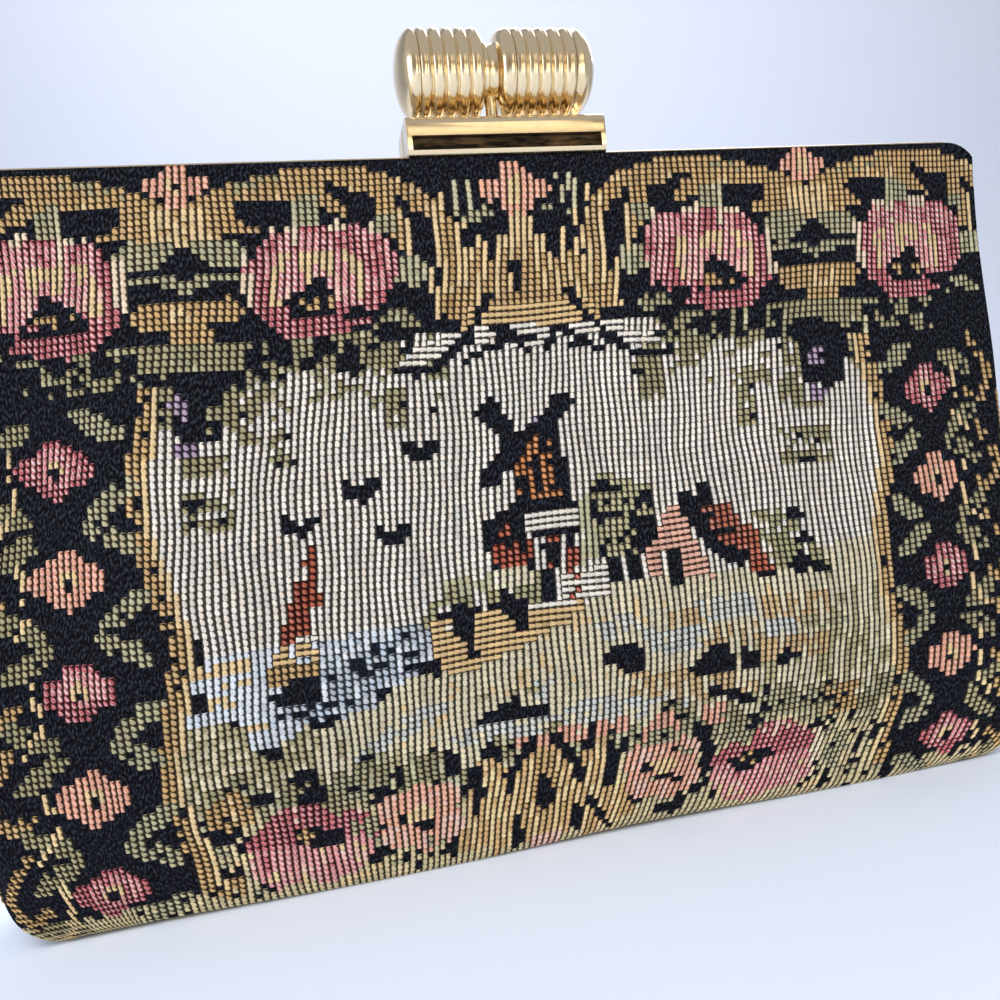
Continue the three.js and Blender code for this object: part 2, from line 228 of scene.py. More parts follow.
def cloth_section(share):
    """Half width of the flat part, side roll angle, and half depths at the middle and at the side seam."""
    half_width = (0.5 - np.maximum(along("inset", share), 0)) * CLOTH_WIDTH
    roll = np.pi / 2 * np.clip(along("turn", share), 0, 1)
    flat = half_width - SIDE_ROLL * np.sin(roll)
    middle = TOP_DEPTH / 2 + BULGE_DEPTH * along("bulge", share)
    edge = TOP_DEPTH / 2 + BULGE_DEPTH * np.maximum(along("edge", share), 0)
    return half_width, roll, flat, middle, edge


def cloth_point(run, share, under):
    """The outer face at a run from the middle line. under is how far the cloth has gone in below the base."""
    _, roll, flat, middle, edge = cloth_section(share)
    ease = np.clip((np.abs(run) / flat - FLAT_SHARE) / (1 - FLAT_SHARE), 0, 1)
    depth = middle + (edge - middle) * ease**2 * (3 - 2 * ease)
    angle = np.clip((np.abs(run) - flat) / SIDE_ROLL, 0, None)
    x = np.where(angle > 0, flat + SIDE_ROLL * np.sin(angle), np.abs(run)) * np.sign(run)
    y = np.where(angle > 0, edge - SIDE_ROLL * (1 - np.cos(angle)), depth)
    return np.stack([x, -np.maximum(y - under, 0), share * CLOTH_HEIGHT], axis=-1)


# The stitches: 20 raised cords to the inch, so a column is 1.25 mm, and a row is a little less.
STITCH = 1.25
ROW = 0.915 * STITCH
HALF_COLUMNS = 82
# past this column the cords are spread evenly out to the side seam
EVEN_COLUMN = 58
fine = np.linspace(1, 0, 1200)
line = np.stack([fine * CLOTH_HEIGHT, TOP_DEPTH / 2 + BULGE_DEPTH * along("bulge", fine)], axis=-1)
drop = np.concatenate([[0], np.cumsum(np.hypot(*np.diff(line, axis=0).T))])
base_half = line[-1, 1]
ROWS = int(round((drop[-1] + base_half) / ROW))
STITCHES = (2 * HALF_COLUMNS, ROWS)


# how far the cords have drifted to the right of their own column, in columns, at three places across
DRIFT_ROWS = np.array((0, 15, 30, 45, 60, 75, 90, 105, 140)) * STITCH
DRIFT = (
    (0, -0.7, -2.3, -4.4, -5.7, -6.3, -6.4, -5.6, -5.0),
    (0, -1.5, -3.1, -4.2, -5.4, -6.2, -6.6, -8.6, -9.0),
    (0, -2.0, -4.5, -5.6, -5.2, -4.4, -5.6, -11.0, -12.0),
)


def stitch_place(column, row):
    """Where a point of the weave lies on the cloth: run from the middle and drop from the top, in mm."""
    s = row * (drop[-1] + base_half) / ROWS
    held = np.clip((HALF_COLUMNS - np.abs(column)) / 26, 0, 1)
    lean = np.stack([np.interp(s, DRIFT_ROWS, drift) for drift in DRIFT])
    share = np.clip((column + 36) / 64, 0, 1) * 2
    side = np.clip(np.stack([1 - share, 1 - np.abs(share - 1), share - 1]), 0, 1)
    lean = STITCH * (lean * side).sum(axis=0)
    lean = lean + 0.24 * np.sin(s / 5.1 + column * 0.21) + 0.10 * np.sin(s / 2.3 - column * 0.53)
    run = column * STITCH
    share = np.interp(s, drop, fine)
    _, roll, flat, _, _ = cloth_section(share)
    reach = flat + SIDE_ROLL * roll
    even = EVEN_COLUMN * STITCH
    spread = (np.abs(column) - EVEN_COLUMN) / (HALF_COLUMNS - EVEN_COLUMN) * (reach - even)
    run = np.where(np.abs(column) > EVEN_COLUMN, np.sign(column) * (even + spread), run)
    settle = 0.35 * np.sin(column / 5.3 + s / 17) * np.clip(s / 8, 0, 1) * np.clip((drop[-1] - s) / 12, 0, 1)
    return run + lean * held, s + settle


# The picture: windmill, cottage, quay and birds in a frame of gold scrolls, roses and hanging leaves.
# Each form is laid over the last, as on a weaver's chart, in stitches from the middle and down from the top.
YARNS = {
    # name: colour, how far the gaps between columns and between rows show, pale flecks, height in mm
    "black": ("#0c0c10", 0.10, 0.06, 0.00, 0.00),
    "sky": ("#ece3d3", 1.00, 0.42, 0.15, 0.30),
    "cream": ("#e6cfae", 0.84, 0.36, 0.25, 0.30),
    "grass": ("#dfd3b0", 0.84, 0.36, 0.10, 0.30),
    "straw": ("#e2c490", 0.84, 0.34, 0.20, 0.30),
    "sagecord": ("#c2bb96", 0.84, 0.38, 0.10, 0.28),
    "goldcord": ("#c9a570", 0.82, 0.40, 0.20, 0.28),
    "gold": ("#c8a46e", 0.80, 0.62, 0.20, 0.24),
    "olive": ("#a79e78", 0.82, 0.64, 0.10, 0.22),
    "sage": ("#b3ac88", 0.82, 0.62, 0.10, 0.22),
    "rose": ("#bd666a", 0.80, 0.58, 0.65, 0.26),
    "petal": ("#d28784", 0.82, 0.34, 1.00, 0.30),
    "blush": ("#e6b5a0", 0.82, 0.34, 0.60, 0.30),
    "coral": ("#e2a284", 0.82, 0.38, 0.55, 0.28),
    "goldbar": ("#d8b680", 0.30, 0.94, 0.10, 0.30),
    "creambar": ("#e4dccb", 0.24, 1.00, 0.10, 0.32),
    "lilac": ("#b39ab0", 0.88, 0.72, 0.10, 0.22),
    "sienna": ("#b05c42", 0.88, 0.80, 0.20, 0.24),
    "water": ("#dce1e3", 0.80, 0.36, 0.20, 0.28),
    "wave": ("#bac3c9", 0.80, 0.64, 0.20, 0.24),
    "slate": ("#14181f", 0.30, 0.20, 0.00, 0.04),
    "bush": ("#aca57c", 0.82, 0.62, 0.10, 0.22),
    "ochre": ("#d08a52", 0.88, 0.80, 0.20, 0.24),
    "brick": ("#b86048", 0.88, 0.80, 0.20, 0.24),
    "tree": ("#bdb58c", 0.84, 0.60, 0.05, 0.22),
    "cottage": ("#dfaa90", 0.34, 0.94, 0.20, 0.30),
    "roof": ("#b86c52", 0.88, 0.70, 0.30, 0.26),
    "ochregrass": ("#cfb080", 0.84, 0.46, 0.15, 0.26),
    "darkgrass": ("#b8ae84", 0.84, 0.50, 0.10, 0.24),
    "mint": ("#d3d4c8", 0.86, 0.48, 0.15, 0.28),
    "edge": ("#cdbd92", 0.78, 0.38, 0.10, 0.26),
}


def chart(X, S, draw):
    """The yarn of every stitch, given how far it lies across from the middle and down from the top edge."""
    tall, wide = X.shape
    loose = draw.random((tall, wide))
    in_rows = draw.random((tall, wide // 3 + 1)).repeat(3, axis=1)[:, :wide]
    in_columns = draw.random((tall // 3 + 1, wide)).repeat(3, axis=0)[:tall]
    grain = {"loose": loose, "rows": 0.65 * in_rows + 0.35 * loose,
        "columns": 0.65 * in_columns + 0.35 * loose}
    yarn = np.full((tall, wide), "black", dtype=object)
    # the band at the top mirrors about the middle and repeats, and the foot mirrors a little left of it
    T = np.abs((np.abs(X - 0.4) + 46.6) % 93.2 - 46.6)
    F = np.abs((np.abs(X + 4.4) + 46.6) % 93.2 - 46.6)

    def oval(x, cx, cy, rx, ry):
        return ((x - cx) / rx) ** 2 + ((S - cy) / ry) ** 2 < 1

    def outline(x, *points):
        inside = np.zeros((tall, wide), dtype=bool)
        for (x0, y0), (x1, y1) in zip(points, points[1:] + points[:1]):
            if y0 != y1:
                crosses = (y0 > S) != (y1 > S)
                inside ^= crosses & (x < x0 + (S - y0) * (x1 - x0) / (y1 - y0))
        return inside

    def stroke(x, width, *points):
        near = np.zeros((tall, wide), dtype=bool)
        for (x0, y0), (x1, y1) in zip(points, points[1:]):
            dx, dy = x1 - x0, y1 - y0
            t = np.clip(((x - x0) * dx + (S - y0) * dy) / (dx * dx + dy * dy), 0, 1)
            near |= np.hypot(x - x0 - t * dx, S - y0 - t * dy) < width / 2
        return near

    def patch(x, x0, x1, s0, s1):
        return (x > x0) & (x < x1) & (S > s0) & (S < s1)

    def lay(name, where, share=1.0, along="loose"):
        yarn[where & (grain[along] < share)] = name

    # sky, and the meadow that runs down to the foot
    lay("sky", outline(X, (-62, 42), (-44, 30), (-20, 29.5), (-8, 27), (0, 28), (8, 27), (20, 29.5),
        (44, 30), (62, 42), (62, 68), (-62, 68)))
    lay("grass", outline(X, (-62, 72), (-44, 76), (-38, 77), (-30, 74.6), (-24, 73), (-17.6, 72), (-8, 70),
        (-4, 66), (3, 66), (8, 63), (20, 63.5), (34, 64), (44, 62), (62, 62), (62, 92), (-62, 92)))
    lay("darkgrass", outline(X, (-62, 72), (-46, 75), (-38, 77), (-38, 92), (-62, 92)), 0.6, "rows")
    lay("darkgrass", outline(X, (-38, 78), (-22, 84), (8, 84), (20, 78), (44, 70), (62, 66), (62, 92),
        (-38, 92)), 0.4, "columns")
    lay("straw", outline(X, (-30, 76), (10, 66), (34, 66), (30, 72), (10, 82), (-26, 84)), 0.22, "columns")

    # the arch of the scroll, gold with straw outlines
    lay("gold", outline(T, (46.9, 6.4), (44, 4.6), (40, 3), (36, 2), (32, 1.1), (28.4, 0.8), (23, 1),
        (19.4, 1.8), (16.4, 3), (13.6, 4.6), (11.6, 7), (10.2, 8.8), (9.6, 13), (9, 20), (9.8, 24.6),
        (13.2, 22.6), (12.6, 18), (12.3, 13), (13, 9.4), (14.8, 6.8), (15.6, 9), (15.8, 13.8), (18, 14),
        (18.7, 10.4), (20.2, 9.4), (20.4, 5.2), (24, 5.1), (32, 5.3), (36.4, 5.3), (39.6, 6), (38.6, 8.2),
        (36.2, 9.8), (41, 10.4), (46.9, 11.5)))
    lay("straw", outline(T, (46.9, 6.4), (43.4, 6.4), (42.6, 10.4), (46.9, 12)), 0.75, "columns")
    lay("straw", stroke(T, 1.1, (12, 9), (12.1, 14), (11.6, 19.5)))
    lay("straw", stroke(T, 1.1, (8.8, 5), (8.4, 9.6), (9.6, 14), (9.2, 23)))
    lay("straw", stroke(T, 1.1, (16.6, 8), (16.4, 15)))
    lay("straw", stroke(T, 1.1, (13.6, 17), (13.2, 23)))
    lay("straw", stroke(T, 1.0, (18.6, 2.4), (14.6, 4.8), (12.2, 8)), 0.55)
    lay("straw", patch(T, 22, 36, 3.6, 5.3), 0.3, "columns")
    lay("olive", outline(T, (40, 3.4), (36, 2.2), (30, 1.4), (30, 2.6), (36, 4), (41, 5)), 0.35)
    lay("black", stroke(T, 1.4, (17, 6.4), (15.2, 8.6)))
    # what hangs inside the arch
    lay("black", outline(T, (28.4, 3.6), (26, 3.2), (23.4, 4.8), (21.1, 5.2), (20.8, 8), (22.4, 9.3),
        (24.2, 7), (25.9, 5)))
    lay("gold", outline(T, (28.6, 5), (26.4, 4.8), (24.4, 7), (23.8, 8.8), (25.4, 7.8), (28.4, 6.8)))
    lay("sage", patch(T, 28.4, 31.6, 5.2, 9.4))
    lay("sagecord", patch(T, 31, 32.2, 5.4, 9.8))
    lay("sage", patch(T, 17.6, 20.4, 8.2, 10.6))
    lay("sagecord", outline(T, (18.9, 14.4), (15.2, 14.4), (13.6, 16.4), (15.6, 18.6),
        (18.9, 18.4)), 0.6, "columns")
    lay("sage", outline(T, (18.9, 14.4), (15.2, 14.4), (13.6, 16.4), (15.6, 18.6),
        (18.9, 18.4)) & (yarn == "black"))
    # acanthus outside the rose
    lay("sage", outline(T, (45.6, 10.6), (40, 10.4), (37.9, 12.6), (39.9, 14.8), (43, 14.2), (45.6, 12.2)))
    lay("sage", stroke(T, 1.4, (46.9, 17.4), (45.2, 16.4), (42, 15.7), (39.4, 16)))
    lay("gold", outline(T, (46.9, 18.6), (41, 18.8), (39.4, 20.4), (40, 22.4), (43.8, 22.4), (44, 25),
        (46.9, 26)))
    lay("straw", outline(T, (46.9, 20), (44, 19.6), (43.6, 22), (46.9, 23)), 0.6, "columns")
    lay("olive", outline(T, (46.9, 24.6), (43.6, 24.6), (38, 24.8), (37.6, 27.6), (42.4, 29), (46.4, 28.4)))

    # the rose
    lay("rose", outline(T, (39.2, 17.5), (38.8, 14.6), (37.2, 13), (36.2, 11), (33.6, 9.8), (28, 9.4),
        (21.4, 9.8), (19, 11.8), (18.2, 15), (18.9, 18.6), (20.6, 20.4), (21.6, 22.4), (24.2, 24),
        (26.5, 24.4), (29.6, 25.8), (32.6, 24.8), (34.4, 25), (36, 22.8), (38, 21.4)))
    lay("petal", outline(T, (36, 11), (34.4, 10), (20.6, 10), (19, 12), (19.6, 15), (24, 13.4),
        (35, 13.4)), 0.62, "columns")
    lay("petal", patch(T, 18.6, 23, 14.6, 20.5), 0.4, "columns")
    lay("cream", patch(T, 32, 34.8, 9, 10.6) | patch(T, 25, 28, 8.6, 10.2)
        | patch(T, 20.4, 21.4, 9, 11), 0.7, "columns")
    lay("cream", patch(T, 37.8, 39.3, 12.8, 20) | patch(T, 31.2, 31.9, 9, 13), 0.85, "columns")
    lay("petal", outline(T, (36, 13.4), (24, 13.4), (23.4, 20.4), (26, 21.6), (34, 19.6), (36, 21)))
    lay("blush", outline(T, (36, 16), (24, 16), (23.4, 20.4), (26, 21.6), (34, 19.6),
        (36, 21)), 0.35, "columns")
    ragged = 15.2 + 1.6 * np.sin(T * 2.1) + 1.2 * np.sin(T * 0.9)
    lay("straw", (T > 24) & (T < 34.6) & (S > 13.4) & (S < ragged))
    lay("straw", patch(T, 34.6, 35.8, 14.8, 20.4) | patch(T, 23.2, 24.2, 14.8, 20))
    lay("black", outline(T, (34, 20.2), (32.4, 18.8), (30.4, 17.6), (29, 16), (28, 18), (26.8, 20),
        (25.2, 21.2), (21.4, 21.6), (20.4, 24), (23.4, 23), (27, 22.2), (33.4, 22.4)))
    lay("gold", patch(T, 30.8, 32.4, 19.8, 21.2) | patch(T, 27.6, 30, 19.4, 21.4), 0.62)
    lay("rose", patch(T, 25, 27.6, 20.2, 22), 0.5)

    # leaves under the rose, which thin out into the sky
    leaf_foot = 30.2 + 1.6 * np.sin(X * 0.8) + 1.2 * np.sin(X * 0.33 + 1)
    under_rose = outline(T, (17, 22.4), (20.4, 21.6), (23, 24.6), (39, 24.8), (46.9, 28), (46.9, 34),
        (12.6, 34), (14, 25.6))
    lay("olive", under_rose & (S < leaf_foot) & (yarn != "rose"), 0.86)
    lay("sagecord", under_rose & (S < leaf_foot + 1.5) & (yarn != "rose"), 0.16, "columns")
    lay("olive", (T > 14) & (T < 41) & (S > leaf_foot) & (S < leaf_foot + 5.5), 0.26, "rows")
    lay("black", (T > 14) & (T < 41) & (S > leaf_foot - 1) & (S < leaf_foot + 5), 0.14, "rows")
    for cx, cy, rx, ry in ((35.2, 26.6, 1.6, 1.9), (29.4, 26.2, 1.5, 1.3), (26, 27.4, 1.3, 1.6),
        (38.6, 26.8, 1, 1.5), (20.4, 25, 1.9, 1.3), (17.4, 27.6, 1.6, 1.3), (37.9, 29.4, 1.1, 0.9),
        (32, 28.6, 1.0, 0.8)):
        lay("black", oval(T, cx, cy, rx, ry))
    lay("black", outline(T, (46.9, 28), (43.8, 29), (39.4, 28.2), (40.4, 31), (44, 33), (44.6, 38),
        (46.9, 38)))
    lay("olive", outline(T, (44, 30.4), (39.6, 30.4), (38, 33), (39.4, 36), (43, 36)), 0.72)

    # the coral flowers on the black strip
    for cx, cy, size in ((0.2, 4.9, 1.0), (46.6, 2.6, 0.8)):
        for dx, dy, rx, ry in ((0, -2, 1.9, 1.9), (3.3, 0.3, 2.1, 1.7), (0.9, 2.4, 1.6, 1.8),
            (1.8, 0, 1.6, 1.8)):
            lay("coral", oval(T, cx + dx * size, cy + dy * size, rx * size, ry * size))
            lay("coral", oval(T, cx - dx * size, cy + dy * size, rx * size, ry * size))
        lay("straw", oval(T, cx, cy, 1.1 * size, 2.6 * size), 0.75, "columns")
    lay("sage", patch(T, 3.4, 5.4, 7.2, 9), 0.6)
    # the palmette: straw ribs that fan out from the middle, with gold between
    lay("gold", outline(T, (0, 9), (1.8, 10), (2.6, 13.4), (4.2, 15), (6.2, 12.6), (7, 15), (8.4, 14),
        (9.2, 19), (10, 25), (0, 25.2)))
    for top, foot in (((0.2, 9), (0.1, 15)), ((1.5, 10), (2.4, 20)), ((2.8, 12.6), (5, 21)), ((6.2, 12),
        (5.6, 16)), ((5.6, 15), (8, 22)), ((7.6, 13), (9.2, 18.6))):
        lay("straw", stroke(T, 1.1, top, foot))
    lay("black", stroke(T, 1.1, (4.2, 12.6), (4.6, 15)) | stroke(T, 1.0, (7.4, 10.6), (7, 13)))
    lay("sagecord", patch(T, 8, 9.4, 3.2, 8.6) | patch(T, 6.4, 7.3, 3.2, 8))
    lay("straw", patch(T, 10.2, 11.2, 4.8, 10.2), 0.8)
    lay("sage", patch(T, 5, 9, 8.4, 9.6), 0.55)
    lay("black", patch(X, -1.9, -0.5, 15.4, 20))
    lay("goldbar", outline(T, (0, 22), (8.6, 22), (10.2, 25.4), (0, 25.4)))
    lay("black", stroke(T, 1.3, (5.8, 20.6), (7.6, 23.6), (9, 26.4), (13.4, 29.6)))
    # cream points that close the scroll against the sky
    lay("creambar", outline(T, (0, 25.4), (4.8, 25.4), (3.4, 28.2), (0, 28.6)))
    lay("black", stroke(T, 0.95, (4.6, 25.6), (3, 26.6), (1.6, 28.8)) | patch(T, -0.1, 1.6, 27.2, 27.9))
    lay("creambar", outline(T, (5.4, 25.5), (8.4, 25.4), (9.6, 27), (6.8, 27.9)))
    lay("black", stroke(T, 1.0, (5, 28.4), (7.2, 28.2), (10.4, 30)))
    lay("creambar", outline(T, (9.2, 25.4), (13.2, 25.6), (17.6, 27.4), (19.6, 29.7), (15, 29.7), (12.4, 28)))
    lay("sky", outline(T, (13.6, 25.2), (19.4, 26.2), (18, 28.2), (14, 27.4)), 0.6, "columns")
    lay("black", stroke(T, 1.0, (12.4, 29), (15, 30.6), (20.4, 30.4)) | stroke(T, 1.5, (13, 24.4),
        (17.2, 25.2), (19.6, 25)))

    # foliage at both edges of the sky
    for side, tufts in (
        (-1, ((48.6, 42.6, 33.4, 37.2), (42, 39, 34, 38.4), (37.6, 34.8, 37.6, 42.4), (49.6, 43, 39.8, 42),
            (50, 43, 44.2, 50), (28, 23, 31, 33), (22, 19, 31, 38.6))),
        (1, ((45, 37.6, 35.6, 41.4), (36.4, 30, 33.6, 37.4), (33.4, 30, 37.4, 42.6), (45, 36.2, 44, 49.4),
            (19, 15, 31, 37.6), (26, 21, 30.6, 33))),
    ):
        for x1, x0, s0, s1 in tufts:
            lay("olive", patch(X * side, x0, x1, s0, s1), 0.62, "rows")
            lay("black", patch(X * side, x0, x1, s0, s1), 0.2, "rows")
    lay("black", patch(X, -49.4, -45.2, 28, 36.4) | patch(X, 41.4, 46.4, 27, 37))
    lay("lilac", oval(X, -48.4, 33, 1.5, 1.5) | oval(X, -48.6, 38.8, 1.7, 1.1)
        | oval(X, 44.4, 33.4, 1.6, 1.6) | oval(X, 43.6, 38.6, 1.8, 1.3), 0.85)

    # four birds
    for bx, by in ((-17.6, 41.2), (-26.5, 45.9), (-34.9, 49.7), (-22.9, 52.4)):
        lay("black", stroke(X, 1.8, (bx - 1.8, by), (bx, by + 1.3), (bx + 1.8, by)))
    # the boat on the water
    lay("water", outline(X, (-62, 66), (-41, 65.6), (-33, 65.6), (-19, 65.4), (-18, 72.4), (-25, 73.4),
        (-28, 76.4), (-38, 77.4), (-41, 79.6), (-45, 79.6), (-45, 75.4), (-62, 74)))
    for s0, s1, x0, x1 in ((66.8, 68.8, -51, -43), (71.4, 73, -51, -45.6), (69.4, 70.4, -47, -43),
        (75.6, 77, -44.6, -42)):
        lay("straw", patch(X, x0, x1, s0, s1), 0.85)
    lay("wave", outline(X, (-34, 65.6), (-19, 65.4), (-18, 72.4), (-25, 73.4), (-28, 76.4), (-38, 77.4),
        (-41, 74)), 0.62, "rows")
    lay("slate", outline(X, (-34, 66.4), (-19, 66), (-18, 72.4), (-25, 73.4), (-28, 76.4), (-38, 77.4),
        (-41, 75)), 0.26, "rows")
    lay("water", outline(X, (-34, 66), (-24, 65.6), (-26, 68), (-33, 72), (-41, 75)), 0.3, "columns")
    lay("sienna", outline(X, (-34.2, 53), (-33.2, 53.6), (-33.3, 60.8), (-35, 61), (-35, 64.6),
        (-36.6, 64.6), (-37, 63.2), (-37.4, 65.8), (-38.8, 65.8), (-38.4, 62.6), (-37.2, 60),
        (-36.4, 57.4), (-35, 57), (-34.9, 54.6)))
    lay("creambar", patch(X, -37, -34, 64.6, 66), 0.8)
    lay("goldbar", patch(X, -40.2, -34.3, 66, 69), 0.8)
    lay("gold", outline(X, (-41.4, 68.6), (-34.3, 68.6), (-34.3, 70), (-38, 70.2), (-39, 72), (-42, 71)))
    lay("black", outline(X, (-42, 72.2), (-38.8, 71.6), (-38.4, 70), (-37, 70), (-36.6, 71.4),
        (-34.3, 71.4), (-34.3, 73.8), (-40, 74)) | outline(X, (-25.2, 70.8), (-18, 70.8), (-17.8, 73.4),
        (-21, 72.4)))
    lay("black", outline(X, (-28.2, 74.4), (-25.6, 73.6), (-26, 75.6)) | outline(X, (-38, 77), (-33, 76.4),
        (-34, 78.4)) | patch(X, -44, -40.4, 79.4, 80.6) | patch(X, -42.8, -41, 80, 81.8))

    # the quay: a low wall with arches, and bushes on it
    lay("bush", outline(X, (-20.4, 66), (-19, 62.6), (-15, 60.8), (-9, 61), (-3, 60), (-3, 66)), 0.78)
    lay("sagecord", patch(X, -17, -4, 59.8, 62), 0.6, "columns")
    lay("goldbar", outline(X, (-18.8, 65.4), (3, 65.2), (3.6, 67.4), (-3, 69.4), (-9, 71.6), (-14, 73.2),
        (-17.6, 73.6), (-18.8, 70)))
    lay("black", patch(X, -17.6, -3.6, 64.2, 65.2), 0.7)
    lay("straw", patch(X, -3, 3, 67, 70), 0.5, "columns")
    lay("black", outline(X, (-16.4, 63.2), (-14.2, 63.2), (-12.8, 65), (-12.9, 71.2), (-14.3, 71.2),
        (-14.7, 68.8), (-16.2, 67.8)))
    lay("black", outline(X, (-9.2, 62.2), (-7.4, 62.2), (-7, 65), (-5.5, 65.2), (-5.5, 68.6), (-6.9, 68.6),
        (-7.5, 66.6), (-9.2, 65.4)))
    lay("creambar", patch(X, -10.6, -8.6, 65.4, 66.2) | patch(X, -17, -15.6, 66, 67), 0.8)

    # the windmill: tower, sails, gallery, house and steps
    lay("black", outline(X, (-3.8, 40.2), (1.8, 40.2), (2.8, 46), (3.4, 51.8), (-5.8, 51.8), (-5.2, 46)))
    lay("ochre", outline(X, (-3.9, 41.6), (1.1, 41.6), (1.8, 50.4), (-5.2, 50.4)), 0.52, "columns")
    lay("black", stroke(X, 2.7, (-4.4, 41.8), (-6, 39.6), (-8, 37.4)) | oval(X, -7.6, 37, 1.7, 1.5))
    lay("black", stroke(X, 2.7, (-4.4, 42.6), (-6.6, 44.8), (-8.6, 46.4)) | oval(X, -8.2, 46.6, 1.6, 1.6))
    lay("black", stroke(X, 2.0, (-2.4, 41), (0.6, 39.4), (3.6, 37)) | oval(X, 3.2, 37, 1.7, 1.5))
    lay("lilac", patch(X, -1.6, -0.4, 37.4, 39.8), 0.8)
    lay("black", outline(X, (-10, 52.4), (-7, 51.2), (-4.2, 51.2), (-4.2, 56.2), (-6.4, 56), (-7.4, 58.6),
        (-9.4, 58.8), (-10.6, 54.6)))
    lay("sienna", patch(X, -8.4, -5.2, 53, 55), 0.3)
    lay("brick", patch(X, -9.2, 3, 55.6, 60), 0.68, "columns")
    lay("black", (yarn == "sky") & patch(X, -9.2, 3, 55.4, 60))
    lay("creambar", outline(X, (-4.2, 51.8), (3.4, 51.8), (3.4, 54.6), (-4.2, 54.6)))
    lay("black", patch(X, -3.6, 3.4, 54.6, 55.6))
    lay("sky", patch(X, -3.2, -1.8, 56, 60) | patch(X, 0.4, 1.4, 56, 60))
    lay("black", patch(X, -2.0, 0.6, 56.6, 59.2))
    lay("grass", patch(X, -9.4, -3.2, 59.6, 62.4), 0.8, "columns")
    lay("creambar", outline(X, (0, 61), (6.8, 61), (7, 65.4), (-0.6, 65.6), (-4.8, 65.6), (-4.8, 64.8),
        (0, 64.6)))
    lay("brick", outline(X, (1.4, 60.2), (3.4, 60.2), (2.4, 64.8), (0.6, 64.8)), 0.55)
    lay("black", patch(X, -2.8, -0.5, 60.6, 65))

    # the round tree
    crown = outline(X, (6.2, 48.4), (8, 47.4), (11.6, 48.8), (13.6, 50), (15.6, 50), (15.6, 56.6),
        (14.2, 58.8), (11.4, 60), (7.2, 60), (5.4, 58), (4.6, 54), (5.4, 50))
    lay("black", crown)
    lay("tree", crown, 0.8)
    lay("sagecord", patch(X, 3.4, 6, 50, 60), 0.7, "columns")
    lay("black", outline(X, (13, 50.8), (15.6, 50), (15.6, 52.8), (12.6, 53)) | outline(X, (10.4, 55),
        (15.4, 54.2), (15.4, 58), (12, 59.4), (11.4, 57.6), (13, 56)), 0.85)
    lay("black", stroke(X, 0.9, (5.6, 53.6), (9.6, 53.8)) | stroke(X, 0.9, (7, 50.2), (10, 49.8)), 0.8)
    lay("black", patch(X, 7.2, 8.9, 60, 63.8) | patch(X, 10.5, 12, 59.6, 63.2))
    # the cottage and its roof
    lay("cottage", outline(X, (18.2, 53), (19.6, 54.6), (20.8, 57.4), (22, 60), (23.4, 64.6), (13, 63.4),
        (13, 60.2), (15.2, 57.2), (16.6, 54.4)))
    lay("sky", outline(X, (20.4, 57), (21.6, 57.6), (24.4, 61.6), (22.6, 62.4))
        | patch(X, 15.4, 16.2, 60, 63.4), 0.8)
    lay("black", patch(X, 16.1, 18.7, 60, 64.8))
    lay("roof", outline(X, (20.8, 53.4), (27.4, 54.4), (28.4, 56.6), (31, 58.6), (31.8, 61.4), (33.4, 65),
        (30, 64.8), (28.6, 62), (25, 60.6), (23.6, 57)))
    lay("brick", outline(X, (26, 54.4), (29, 57), (31.6, 60), (33.4, 65), (30, 64.8), (27, 60)), 0.4, "rows")
    lay("black", stroke(X, 2.3, (20.6, 54.4), (22.6, 57.4), (24.4, 60.4), (28.2, 62.4)) | stroke(X, 1.0,
        (21.6, 55.4), (24.6, 55.8)) | stroke(X, 0.9, (25.4, 58), (27.4, 58.4)))
    lay("black", outline(X, (19, 51.2), (20.8, 51.4), (21.4, 52.6), (22.2, 52.4), (22.2, 50.4),
        (24.4, 50.4), (24.6, 53.8), (20.2, 54.4)))
    lay("bush", outline(X, (30.8, 56), (34.6, 55.6), (36.8, 57), (40, 60.6), (42.4, 64.2), (42.4, 66.8),
        (36, 65.4), (33.6, 64.4), (31.8, 60)), 0.8)
    for cx, cy, rx, ry in ((37.4, 56.9, 1.7, 0.8), (38.8, 60.8, 1.4, 0.9), (38, 64.4, 1.9, 1.6),
        (41, 65.4, 1.4, 1.0), (31.8, 65.6, 1.4, 0.6), (-50.6, 65, 1.7, 2.2), (-51, 72, 1.6, 1.4)):
        lay("black", oval(X, cx, cy, rx, ry))

